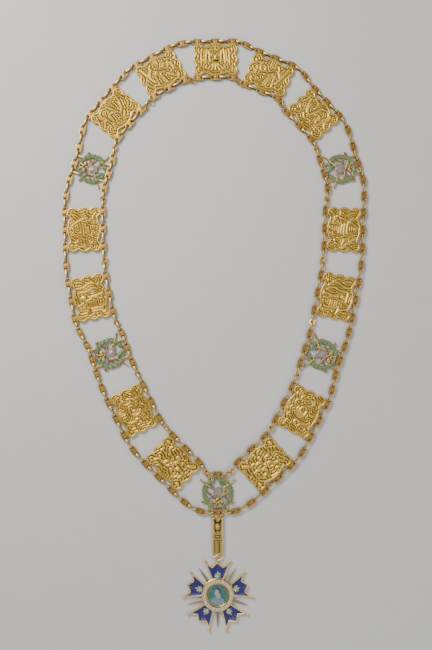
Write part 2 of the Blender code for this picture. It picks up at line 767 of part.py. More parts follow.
drop_x = LOWEST.x * LOOP_HALF_WIDTH
chain_edge = LOWEST.y * LOOP_HALF_HEIGHT - WREATH_CHAIN_OFFSET - CHAIN_DIAMETER / 2
hanger_y = chain_edge - CLEARANCE
lozenge_y = hanger_y - HANGER_LENGTH - EYE_DROP
star_y = lozenge_y - LOZENGE_HEIGHT - EYE_DROP - ARM_TIP
add_part("hanger", hanger_mesh(), gold, (drop_x, hanger_y, 0))
add_part("lozenge_ring", lozenge_mesh(), gold, (drop_x, lozenge_y, 0))
add_part("star", star_mesh(), gold, (drop_x, star_y, 0))
field_mesh = enamel_mesh()
for i in range(ARM_COUNT):
    add_part(f"arm_enamel_{i + 1}", field_mesh, blue_enamel, (drop_x, star_y, 0), -i * 360 / ARM_COUNT)
add_part("medallion_ring", medallion_ring_mesh(), cream_enamel, (drop_x, star_y, 0))
add_part("medallion", medallion_mesh(), teal_enamel, (drop_x, star_y, 0))

# The origin goes under the middle of the whole collar
bpy.context.view_layer.update()
corners = []
for made in parts.objects:
    if made.type == "MESH":
        spots = np.empty(len(made.data.vertices) * 3)
        made.data.vertices.foreach_get("co", spots)
        world = np.array(made.matrix_world)
        corners.append(spots.reshape(-1, 3) @ world[:3, :3].T + world[:3, 3])
spread = np.concatenate(corners)
low, high = spread.min(axis=0), spread.max(axis=0)
origin.location = (-(low[0] + high[0]) / 2, -(low[1] + high[1]) / 2, -low[2])
bpy.context.view_layer.update()
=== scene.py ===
# Looks of an order collar laid open on a table: lobed relief plaques and green wreaths between two
# link chains, a fluted hanger and an enamelled star. Sizes are in millimetres until a mesh is made.
from collections import namedtuple

import bpy
import numpy as np
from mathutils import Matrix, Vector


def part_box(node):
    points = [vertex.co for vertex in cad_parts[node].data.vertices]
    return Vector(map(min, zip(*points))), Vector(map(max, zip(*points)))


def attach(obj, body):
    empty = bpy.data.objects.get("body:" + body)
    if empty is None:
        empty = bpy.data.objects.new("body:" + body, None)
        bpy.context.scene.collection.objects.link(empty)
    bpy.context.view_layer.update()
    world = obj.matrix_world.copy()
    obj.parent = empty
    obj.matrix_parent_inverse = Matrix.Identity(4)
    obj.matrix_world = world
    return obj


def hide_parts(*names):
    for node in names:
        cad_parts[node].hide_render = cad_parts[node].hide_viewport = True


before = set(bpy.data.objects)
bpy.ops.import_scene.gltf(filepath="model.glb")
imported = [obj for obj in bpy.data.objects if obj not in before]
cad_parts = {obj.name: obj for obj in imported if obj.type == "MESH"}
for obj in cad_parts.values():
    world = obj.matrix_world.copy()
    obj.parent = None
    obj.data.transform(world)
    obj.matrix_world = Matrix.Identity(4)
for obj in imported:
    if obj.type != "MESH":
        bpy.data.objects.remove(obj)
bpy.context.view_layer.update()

mm = 0.001

# Camera, table and light

stageSet = {
    "aim": (1.32, -0.45),  # the point of the table in the middle of the picture
    "distance": 615,
    "tilt": 5.3,  # degrees off plumb
    "lens": 40,
    "sensor": 36,
    "tableColour": (0.62, 0.61, 0.59),
    "tableHalf": 1600,
    "tableDrop": 0.1,  # how far the table's top lies under the collar's back
    "skyColour": (0.93, 0.95, 1.0, 1),
    "skyStrength": 0.32,
    "lamps": (  # place in mm, size in mm, power in watts, colour
        ((-520, 560, 700), 420, 12, (1, 0.97, 0.92)),
        ((700, -250, 900), 900, 4, (0.95, 0.97, 1)),
        ((0, -900, 700), 700, 2.5, (1, 0.98, 0.95)),
    ),
}


def placed(name, data):
    # A camera, lamp or mesh as an object of the scene
    made = bpy.data.objects.new(name, data)
    bpy.context.scene.collection.objects.link(made)
    return made


def aimedTurn(place, target):
    # Turns that point a lamp's -Z at the target: tilt = angle from straight down, heading about Z
    away = np.subtract(place, target)
    return (np.arctan2(np.hypot(away[0], away[1]), away[2]), 0, np.arctan2(away[0], -away[1]))


cameraData = bpy.data.cameras.new("pictureCamera")
cameraData.lens = stageSet["lens"]
cameraData.sensor_width = stageSet["sensor"]
cameraData.clip_start = 10 * mm
camera = placed("pictureCamera", cameraData)
tilt = np.radians(stageSet["tilt"])
camera.location = (
    stageSet["aim"][0] * mm,
    (stageSet["aim"][1] - stageSet["distance"] * np.sin(tilt)) * mm,
    stageSet["distance"] * np.cos(tilt) * mm,
)
camera.rotation_euler = (tilt, 0, 0)
bpy.context.scene.camera = camera

for number, (place, size, power, colour) in enumerate(stageSet["lamps"]):
    lampData = bpy.data.lights.new(f"softBox{number}", "AREA")
    lampData.energy = power
    lampData.size = size * mm
    lampData.color = colour
    lamp = placed(f"softBox{number}", lampData)
    lamp.location = np.multiply(place, mm)
    lamp.rotation_euler = aimedTurn(place, (0, 0, 0))

world = bpy.data.worlds.new("studio")
world.use_nodes = True
sky = world.node_tree.nodes["Background"].inputs
sky["Color"].default_value = stageSet["skyColour"]
sky["Strength"].default_value = stageSet["skyStrength"]
bpy.context.scene.world = world
print("camera and lamps set")


# Finishes


class Wire:
    # A socket that takes part in sums: each operator adds one Math node
    def __init__(self, paint, socket):
        self.paint, self.socket = paint, socket

    def sum(self, operation, *values):
        # One Math node with these values at its inputs
        return self.paint.node("ShaderNodeMath", {"operation": operation}, dict(enumerate(values)))

    def __add__(self, other):
        return self.sum("ADD", self, other)

    def __sub__(self, other):
        return self.sum("SUBTRACT", self, other)

    def __rsub__(self, other):
        return self.sum("SUBTRACT", other, self)

    def __mul__(self, other):
        return self.sum("MULTIPLY", self, other)

    def limited(self):
        # Held between 0 and 1
        return self.sum("MINIMUM", self.sum("MAXIMUM", self, 0), 1)

    __radd__, __rmul__ = __add__, __mul__


class Paint:
    # A material with its nodes under one shader
    def __init__(self, name):
        self.material = bpy.data.materials.new(name)
        self.material.use_nodes = True
        self.tree = self.material.node_tree
        self.shader = self.tree.nodes["Principled BSDF"]
        self.place = self.node("ShaderNodeTexCoord", {}, {}, "Object")

    def node(self, kind, settings, sockets, output=0):
        # One node: its settings first, then a value or a link for each socket named or numbered
        made = self.tree.nodes.new(kind)
        for key, value in settings.items():
            setattr(made, key, value)
        for key, value in sockets.items():
            self.feed(made.inputs[key], value)
        return Wire(self, made.outputs[output])

    def feed(self, socket, value):
        # A wire is linked to the socket, a plain value is set on it
        if isinstance(value, Wire):
            self.tree.links.new(value.socket, socket)
        else:
            socket.default_value = value

    def mark(self, name):
        # A number that the mesh carries at each of its points
        return self.node("ShaderNodeAttribute", {"attribute_name": name}, {}, "Fac")

    def noise(self, size, detail=2.0, rough=0.5):
        # Cloudy 0 to 1 pattern whose patches are about so many mm across
        values = {"Vector": self.place, "Scale": 1 / (size * mm), "Detail": detail, "Roughness": rough}
        return self.node("ShaderNodeTexNoise", {}, values)

    def blend(self, share, first, second):
        # Colour that goes from the first to the second as the share goes from 0 to 1
        return self.node("ShaderNodeMix", {"data_type": "RGBA"}, {0: share, 6: first, 7: second}, 2)

    def bump(self, height, depth, strength):
        # Normals tipped by a height from 0 to 1 that stands for so many mm
        values = {"Height": height, "Distance": depth * mm, "Strength": strength}
        return self.node("ShaderNodeBump", {}, values)

    def finish(self, **values):
        # The shader's sockets by name, spaces left out
        names = {socket.name.replace(" ", ""): socket for socket in self.shader.inputs}
        for key, value in values.items():
            self.feed(names[key], value)
        return self.material


def opaque(colour, shares=(1, 1, 1)):
    # A colour for a socket: red, green and blue times their shares, and alpha 1
    return (*(part * share for part, share in zip(colour, shares)), 1)


def goldPaint(name, base, recess, rough, grain, tone, shadeStrength=1.0, edge=None):
    # Gilt metal: recess colour as painted shade where marked hollow, patches of tone over it, an edge colour
    # where marked gilt (on the hanger a painted highlight), and cast grain and polishing marks as bump;
    # hollows are rougher
    paint = Paint(name)
    hollow = paint.mark("hollow")
    patches = paint.noise(5.0, 3, 0.6)
    grainy = paint.noise(grain, 2, 0.55)
    pitted = paint.noise(1.3, 4, 0.65)
    # Painted shade: the hollow mark times its strength, varied by pits, turns the colour to the recess colour
    shadeAmount = (hollow * shadeStrength * (0.72 + pitted * 0.5)).limited()
    warm = opaque(base, (0.98, 0.86, 0.72))
    clean = paint.blend(((patches - 0.38) * 2.2 * tone).limited(), opaque(base), warm)
    if edge:
        # On the hanger this edge colour is a painted highlight on its raised strips and bars
        clean = paint.blend(paint.mark("gilt"), clean, opaque(edge))
    colour = paint.blend(shadeAmount, clean, opaque(recess))
    roughness = (rough + grainy * 0.16 + shadeAmount * 0.22 + (pitted - 0.5) * 0.14).limited()
    normal = paint.bump(grainy * 0.5 + pitted * 0.8, 0.05, 0.55)
    return paint.finish(BaseColor=colour, Metallic=1.0, Roughness=roughness, Normal=normal)


def enamelPaint(name, base, deep, rim, rough, spot, gloss=0.6, speck=None):
    # Glass enamel in gilt cells: depth of colour changes in clouds, painted shade deepens it towards its
    # edges where marked hollow, specks where asked, gold where the mesh is marked gilt, and a clear coat over
    # the glass alone
    paint = Paint(name)
    gilt = paint.mark("gilt")
    hollow = paint.mark("hollow")
    clouds = paint.noise(spot * 2.2, 4, 0.6)
    fine = paint.noise(spot * 0.4, 2, 0.5)
    # shade: random clouds plus painted shade where the mesh is marked hollow
    shade = ((clouds - 0.36) * 1.9 + hollow * 0.8 + (fine - 0.5) * 0.5).limited()
    glass = paint.blend(shade, opaque(base), opaque(deep))
    if speck:
        size, speckColour = speck
        values = {"Vector": paint.place, "Scale": 1 / (size * mm)}
        cells = paint.node("ShaderNodeTexVoronoi", {}, values)
        glass = paint.blend(((0.36 - cells) * 6).limited(), glass, opaque(speckColour))
    edge = ((gilt - 0.35) * 3.0).limited()
    worn = paint.blend(fine, opaque(rim), opaque(rim, (0.72,) * 3))
    colour = paint.blend(edge, glass, worn)
    roughness = (rough + edge * 0.14 + clouds * 0.08).limited()
    normal = paint.bump(clouds * 0.7 + fine * 0.3, 0.05, 0.35)
    coat = (1 - edge) * gloss
    return paint.finish(
        BaseColor=colour, Metallic=edge, Roughness=roughness, Normal=normal, CoatWeight=coat,
        CoatRoughness=0.06,
    )


gold = (0.74, 0.5, 0.105)
paleGold = (0.78, 0.56, 0.18)
# Colour, colour of the painted shade in the recesses, roughness, mm of the cast grain, strength of the
# patches of tone, share of painted shade in the hollows, and the colour where the mesh is marked gilt
golds = {
    "plaqueGold": (gold, (0.13, 0.07, 0.014), 0.36, 0.2, 0.6, 1.15),
    "linkGold": ((0.68, 0.45, 0.12), (0.1, 0.045, 0.01), 0.3, 0.3, 0.7),
    "copperGold": ((0.46, 0.265, 0.07), (0.09, 0.04, 0.008), 0.36, 0.25, 0.9, 1.0, (0.74, 0.5, 0.15)),
    # The hanger's last colour is a painted highlight on its raised strips and bars
    "hangerGold": ((0.76, 0.55, 0.17), (0.07, 0.035, 0.008), 0.27, 0.25, 0.5, 1.2, (1.0, 0.88, 0.52)),
    "rimGold": ((0.98, 0.7, 0.27), (0.22, 0.1, 0.02), 0.26, 0.4, 0.2),
    "rayGold": ((0.6, 0.51, 0.35), (0.12, 0.085, 0.045), 0.32, 0.25, 0.3),
    "redGold": ((0.74, 0.45, 0.2), (0.24, 0.11, 0.04), 0.34, 0.25, 0.8),
}
# Colour, deeper colour for the clouds and the painted shade, metal at the edges, roughness, mm of the clouds,
# coat over the glass, and the mm and colour of specks
enamels = {
    "leafGreen": ((0.25, 0.36, 0.165), (0.1, 0.21, 0.095), paleGold, 0.26, 0.9, 0.35),
    "birdGreen": ((0.1, 0.25, 0.1), (0.03, 0.13, 0.06), paleGold, 0.2, 0.6),
    "tailGreen": ((0.4, 0.4, 0.17), (0.22, 0.27, 0.1), paleGold, 0.26, 0.5),
    "scrollLilac": (
        (0.32, 0.275, 0.275), (0.16, 0.13, 0.135), (0.72, 0.48, 0.3), 0.3, 0.7, 0.4,
        (0.45, (0.2, 0.13, 0.12)),
    ),
    "stockGrey": ((0.2, 0.13, 0.11), (0.1, 0.06, 0.055), paleGold, 0.28, 0.6),
    "cobalt": ((0.025, 0.028, 0.16), (0.01, 0.011, 0.08), paleGold, 0.12, 1.4, 0.8),
    "turquoise": ((0.25, 0.55, 0.5), (0.12, 0.38, 0.38), (0.84, 0.54, 0.3), 0.18, 0.6),
    "creamGlass": ((0.7, 0.62, 0.44), (0.5, 0.42, 0.27), paleGold, 0.2, 1.0),
    "markBrown": ((0.13, 0.09, 0.07), (0.07, 0.05, 0.05), gold, 0.3, 0.5),
    "tealGlass": ((0.045, 0.175, 0.18), (0.015, 0.085, 0.1), paleGold, 0.14, 1.2, 1.0),
    "skinGlass": ((0.37, 0.36, 0.36), (0.2, 0.2, 0.22), paleGold, 0.3, 0.6),
    "clothGlass": ((0.19, 0.29, 0.32), (0.08, 0.15, 0.2), paleGold, 0.3, 0.5),
    "hairGlass": ((0.06, 0.045, 0.035), (0.02, 0.02, 0.02), paleGold, 0.35, 0.4),
    "sprigGreen": ((0.1, 0.26, 0.08), (0.05, 0.16, 0.06), gold, 0.25, 0.5),
}
finishes = {name: goldPaint(name, *values) for name, values in golds.items()}
finishes.update({name: enamelPaint(name, *values) for name, values in enamels.items()})
print("finishes mixed:", len(finishes))

tablePaint = Paint("table")
tableSpeckle = tablePaint.noise(14.0, 5, 0.6)
tableColour = stageSet["tableColour"]
tableFinish = tablePaint.finish(
    BaseColor=tablePaint.blend(tableSpeckle, opaque(tableColour), opaque(tableColour, (0.94,) * 3)),
    Roughness=(0.62 + tableSpeckle * 0.1).limited(),
)
tableMesh = bpy.data.meshes.new("table")
tableHalf, tableTop = stageSet["tableHalf"] * mm, -stageSet["tableDrop"] * mm
quarters = ((-1, -1), (1, -1), (1, 1), (-1, 1))
tableMesh.from_pydata([(x * tableHalf, y * tableHalf, tableTop) for x, y in quarters], [], [(0, 1, 2, 3)])
tableMesh.materials.append(tableFinish)
tableObject = placed("table", tableMesh)


# Surfaces

# One closed skin: points in mm, a list of face arrays, its finish, and two marks at each point: hollow,
# mostly painted shade, and the mark for gilt, which on the hanger is a painted highlight
Skin = namedtuple("Skin", "points faces finish hollow gilt")


def spreadMark(mark, shape):
    # One number, or one for each row, column or point of a grid, as one for each of its points
    return np.broadcast_to(np.asarray(mark, dtype=float), shape).ravel()


def skin(points, faces, finish, hollow=0.0, gilt=0.0):
    # A skin whose faces look outward: the volume under them, a sixth of the sum of a . (b x c) over
    # their triangles, is made positive
    points = np.asarray(points, dtype=float)
    marks = [spreadMark(mark, points.shape[:-1]) for mark in (hollow, gilt)]
    points = points.reshape(-1, 3)
    volume = 0
    for table in faces:
        corners = points[table]
        volume += (corners[:, :1] * np.cross(corners[:, 1:-1], corners[:, 2:])).sum()
    if volume < 0:
        faces = [table[:, ::-1] for table in faces]
    return Skin(points, faces, finish, *marks)


def gridFaces(rows, columns, closeRows=False, closeColumns=False):
    # Four-cornered faces between neighbours on a grid, round its ends where it closes
    i = np.arange(rows if closeRows else rows - 1)[:, None]
    j = np.arange(columns if closeColumns else columns - 1)[None, :]
    nextI, nextJ = (i + 1) % rows, (j + 1) % columns
    corners = [i * columns + j, i * columns + nextJ, nextI * columns + nextJ, nextI * columns + j]
    return np.stack(corners, -1).reshape(-1, 4)


def tube(rings, finish, hollow=0.0, gilt=0.0, closed=False):
    # Ring after ring of points joined side by side; the first and last are joined too, or capped
    rows, count = rings.shape[:2]
    faces = [gridFaces(rows, count, closeRows=closed, closeColumns=True)]
    if not closed:
        faces += [np.arange(count)[None, ::-1], np.arange(count)[None] + (rows - 1) * count]
    return skin(rings, faces, finish, hollow, gilt)


def moved(item, x=0.0, y=0.0, turn=0.0, mirror=False):
    # The skin mirrored left to right if asked, turned about Z by so many degrees, then shifted
    points = item.points * ((-1, 1, 1) if mirror else (1, 1, 1))
    c, s = np.cos(np.radians(turn)), np.sin(np.radians(turn))
    points = points @ np.array(((c, s, 0), (-s, c, 0), (0, 0, 1))) + (x, y, 0)
    faces = [table[:, ::-1] for table in item.faces] if mirror else item.faces
    return item._replace(points=points, faces=faces)


def copies(item, matrices, middles, points=None):
    # The same skin at many middles: its points, or its own set for each, times a matrix, plus a middle
    points = np.broadcast_to(item.points if points is None else points, (len(middles), *item.points.shape))
    spread = np.einsum("nij,npj->npi", matrices, points) + middles[:, None]
    starts = (np.arange(len(middles)) * len(item.points))[:, None, None]
    faces = [(table[None] + starts).reshape(-1, table.shape[1]) for table in item.faces]
    marks = [np.tile(mark, len(middles)) for mark in (item.hollow, item.gilt)]
    return Skin(spread.reshape(-1, 3), faces, item.finish, *marks)


def makePiece(name, skins, stands, sharp=42):
    # One mesh of many skins, in metres, with a material for each finish and the marks as attributes
    used = [finish for finish in finishes if any(item.finish == finish for item in skins)]
    starts = np.cumsum([0] + [len(item.points) for item in skins])
    corners, totals, slots = [], [], []
    for item, start in zip(skins, starts):
        for table in item.faces:
            corners.append((table + start).ravel())
            totals.append(np.full(len(table), table.shape[1]))
            slots.append(np.full(len(table), used.index(item.finish)))
    corners, totals, slots = (np.concatenate(part) for part in (corners, totals, slots))
    mesh = bpy.data.meshes.new(name)
    mesh.vertices.add(starts[-1])
    mesh.vertices.foreach_set("co", (np.concatenate([item.points for item in skins]) * mm).ravel())
    mesh.loops.add(len(corners))
    mesh.loops.foreach_set("vertex_index", corners)
    mesh.polygons.add(len(totals))
    mesh.polygons.foreach_set("loop_start", np.concatenate(([0], np.cumsum(totals)[:-1])))
    mesh.polygons.foreach_set("material_index", slots)
    mesh.polygons.foreach_set("use_smooth", np.ones(len(totals), dtype=bool))
    mesh.update(calc_edges=True)
    for mark in ("hollow", "gilt"):
        values = np.concatenate([getattr(item, mark) for item in skins])
        mesh.attributes.new(mark, "FLOAT", "POINT").data.foreach_set("value", values)
    mesh.validate()
    mesh.set_sharp_from_angle(angle=np.radians(sharp))
    for finish in used:
        mesh.materials.append(finishes[finish])
    piece = placed(name, mesh)
    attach(piece, "root")
    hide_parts(*stands)


def dressed(node, skins, slot, x, y, turn=0.0, sharp=42):
    # A node's piece from skins about their own middle, turned and shifted to where the node lies
    makePiece(node + ".dressed", [moved(item, x, y, turn) for item in skins], [node], sharp)


def unit(vectors):
    # Each vector at length 1
    return vectors / np.linalg.norm(vectors, axis=-1, keepdims=True)


def rightOf(along):
    # Each flat vector turned a quarter to its right
    return np.stack([along[:, 1], -along[:, 0]], -1)


def headings(path, closed=False):
    # Which way a path runs at each point: along the line between its two neighbours
    return unit(np.roll(path, -1, 0) - np.roll(path, 1, 0) if closed else np.gradient(path, axis=0))


def atHeight(spots, z):
    # Flat points with a height, or each with its own
    return np.column_stack([spots, np.full(len(spots), z)])


def roundProfile(count, half, low, high, square=0.7):
    # Points round a soft-cornered bar: a superellipse so wide and so high
    angle = np.pi - np.arange(count) * 2 * np.pi / count
    side = np.sign(np.cos(angle)) * np.abs(np.cos(angle)) ** square
    up = np.sign(np.sin(angle)) * np.abs(np.sin(angle)) ** square
    return np.stack([side * half, (low + high) / 2 + up * (high - low) / 2], -1)


def sweep(path, profile, finish, closed=False, hollow=0.0, gilt=0.0):
    # A profile (sideways, up) carried along a flat path, square to the way it runs
    path = np.asarray(path, dtype=float)
    spots = path[:, None] + rightOf(headings(path, closed))[:, None] * profile[:, :1]
    up = np.broadcast_to(profile[:, 1:], (*spots.shape[:2], 1))
    return tube(np.concatenate([spots, up], -1), finish, hollow, gilt, closed)


def circlePath(centre, radius, count, start=0, end=360):
    # Points on a circle between two directions in degrees; a whole turn leaves out its last point
    whole = abs(end - start) == 360
    angle = np.radians(np.linspace(start, end, count, endpoint=not whole))
    return np.stack([centre[0] + radius * np.cos(angle), centre[1] + radius * np.sin(angle)], -1)


def smoothPath(points, count, closed=True):
    # A smooth curve through a few points: a cubic between each two, with slopes from their neighbours
    points = np.asarray(points, dtype=float)
    many = len(points)
    spots = np.linspace(0, many if closed else many - 1, count, endpoint=not closed)
    first = np.minimum(spots.astype(int), many - 1 if closed else many - 2)
    share = (spots - first)[:, None]
    four = first + np.arange(-1, 3)[:, None]
    a, b, c, d = points[four % many if closed else np.clip(four, 0, many - 1)]
    bow, twist = 2 * a - 5 * b + 4 * c - d, 3 * b - a - 3 * c + d
    return 0.5 * (2 * b + (c - a) * share + bow * share**2 + twist * share**3)


def curvedBar(spots, count, profile, finish, **marks):
    # A profile carried along a smooth open curve through a few spots
    return sweep(smoothPath(spots, count, closed=False), profile, finish, **marks)


def domed(outline, centre, low, high, rise, finish, rings=7, power=2.0, rim=0.0, sink=0.0, relief=None):
    # A cushion inside an outline seen from its centre: height = high + rise * (1 - share**power),
    # a raised gilt rim over the outer share, a sunk line inside it darkened with painted shade, and whatever
    # relief adds
    share = 1 - np.linspace(0, 1, rings + 1) ** 1.3
    if rim:
        share = np.concatenate([1 - rim * np.array((0, 0.5, 1, 1.25)), share[1:] * (1 - rim * 1.5)])
    outline, centre = np.asarray(outline, dtype=float), np.asarray(centre, dtype=float)
    spots = centre + (outline - centre) * share[:, None, None]
    top = high + rise * (1 - share**power)[:, None] + np.zeros(len(outline))
    gilt, hollow = np.zeros(top.shape), np.zeros(top.shape)
    if rim:
        top[:3] += np.array((-0.02, 0.12, 0.04))[:, None]
        gilt[:3] = 1
        # Painted shade in the sunk line
        top[3] -= sink
        hollow[3] = 1
    if relief:
        more, dark = relief(spots[..., 0], spots[..., 1], share[:, None])
        top, hollow = top + more, np.maximum(hollow, dark)
    rows, count = len(share) - 1, len(outline)
    points = np.concatenate([
        np.dstack([spots, top[..., None]])[:rows].reshape(-1, 3),
        [[*centre, top[-1].mean()]],
        atHeight(outline, low),
    ])
    pole, ring = rows * count, np.arange(count)
    around = np.roll(ring, -1)
    faces = [
        gridFaces(rows, count, closeColumns=True),
        np.stack([(rows - 1) * count + ring, (rows - 1) * count + around, np.full(count, pole)], -1),
        np.stack([ring, pole + 1 + ring, pole + 1 + around, around], -1),
        (pole + 1 + ring)[None, ::-1],
    ]
    marks = [np.concatenate([mark[:rows].ravel(), [mark[-1].mean()], mark[0]]) for mark in (hollow, gilt)]
    return skin(points, faces, finish, *marks)


def button(centre, radius, count, *values, **more):
    # A round cushion
    return domed(circlePath(centre, radius, count), centre, *values, **more)


def plate(x, y, top, low, finish, hollow=0.0, gilt=0.0):
    # A grid of heights as a closed plate: the top, walls down from its border and a flat back
    rows, columns = top.shape
    index = np.arange(rows * columns).reshape(rows, columns)
    border = np.concatenate([index[0, :-1], index[:-1, -1], index[-1, :0:-1], index[:0:-1, 0]])
    foot = rows * columns + np.arange(len(border))
    points = np.stack([x, y, top], -1).reshape(-1, 3)
    points = np.concatenate([points, atHeight(points[border, :2], low)])
    faces = [
        gridFaces(rows, columns),
        np.stack([border, foot, np.roll(foot, -1), np.roll(border, -1)], -1),
        foot[None, ::-1],
    ]
    marks = [spreadMark(mark, top.shape) for mark in (hollow, gilt)]
    return skin(points, faces, finish, *(np.concatenate([mark, mark[border]]) for mark in marks))


def softStep(value, low, high):
    # 0 below low, 1 above high, and an S between them
    share = np.clip((value - low) / (high - low), 0, 1)
    return share * share * (3 - 2 * share)


def hill(x, y, middleX, middleY, wide, high):
    # A soft hill: 1 at its middle, falling as exp(-(x/wide)**2 - (y/high)**2)
    return np.exp(-(((x - middleX) / wide) ** 2 + ((y - middleY) / high) ** 2))


# Places round the oval, clockwise from the top: shares of its half width and half height, and the
# direction in degrees in which the chains run past. The right half's designs are mirrored on the left.
Place = namedtuple("Place", "design mirror x y turn")
places = (
    Place("mask", False, 0.013, 1.0, 1),
    Place("serpent", False, 0.43, 0.925, -23),
    Place("arches", False, 0.775, 0.735, -48.5),
    Place("wreath", False, 0.985, 0.475, -73),
    Place("crossing", False, 0.997, 0.19, -93),
    Place("warrior", False, 0.933, -0.12, -101.5),
    Place("wreath", False, 0.82, -0.385, -109.5),
    Place("shield", False, 0.657, -0.64, -117.5),
    Place("limbs", False, 0.38, -0.87, -137.5),
    Place("wreath", False, 0.028, -1.0, 180),
    Place("limbs", True, -0.307, -0.867, 135.5),
    Place("shield", True, -0.6, -0.635, 116.5),
    Place("wreath", False, -0.788, -0.38, 109),
    Place("warrior", True, -0.94, -0.125, 101.5),
    Place("crossing", True, -0.997, 0.19, 92),
    Place("wreath", False, -0.947, 0.475, 73),
    Place("arches", True, -0.766, 0.743, 51),
    Place("serpent", True, -0.416, 0.937, 29),
)
oval = {"halfWidth": 112, "halfHeight": 187.5}


def middleOfNode(node):
    # The middle of a node of the frame, on the table, in mm
    return np.mean(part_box(node), axis=0)[:2] / mm


def fromOvalMiddle(place):
    # How far a plate lies from the oval's middle
    return np.array((place.x * oval["halfWidth"], place.y * oval["halfHeight"]))


ovalMiddle = middleOfNode("plaque_01") - fromOvalMiddle(places[0])


def middleOf(place):
    # Where a plate lies on the table, in mm
    return ovalMiddle + fromOvalMiddle(place)


# Plaques

plaqueSet = {
    "halfLength": 19.5,
    "halfHeight": 14.4,
    "lobeRadius": 4.8,
    "longNotch": 2.2,
    "shortNotch": 1.9,
    "notchFloor": 1.4,
    "rimWidth": 1.45,
    "rimTop": 2.6,
    "rimEdge": 1.9,
    "ground": 1.3,  # height of the recesses
    "crown": 0.16,  # how much higher the middle stands
    "wormTop": 2.25,  # height of the worms between the figures
    "figureTop": 2.85,
    "wormPitch": 1.66,  # from worm to worm, between the figures
    "ownPitch": {"serpent": 1.85, "arches": 1.8, "shield": 1.75, "limbs": 2.3},
    "wormWidth": 0.88,  # of the figures' worms, as a share of the widths in the tables
    "wormBreaks": 0.35,  # from 0, long even worms, to 1, pellets
    "wormSteps": 24,
    "pit": ("mask", 0.9, -1.2, 2.2, 0.75),  # the mask's open mouth: middle and half sizes
    "columns": 150,
    "rows": 112,
}

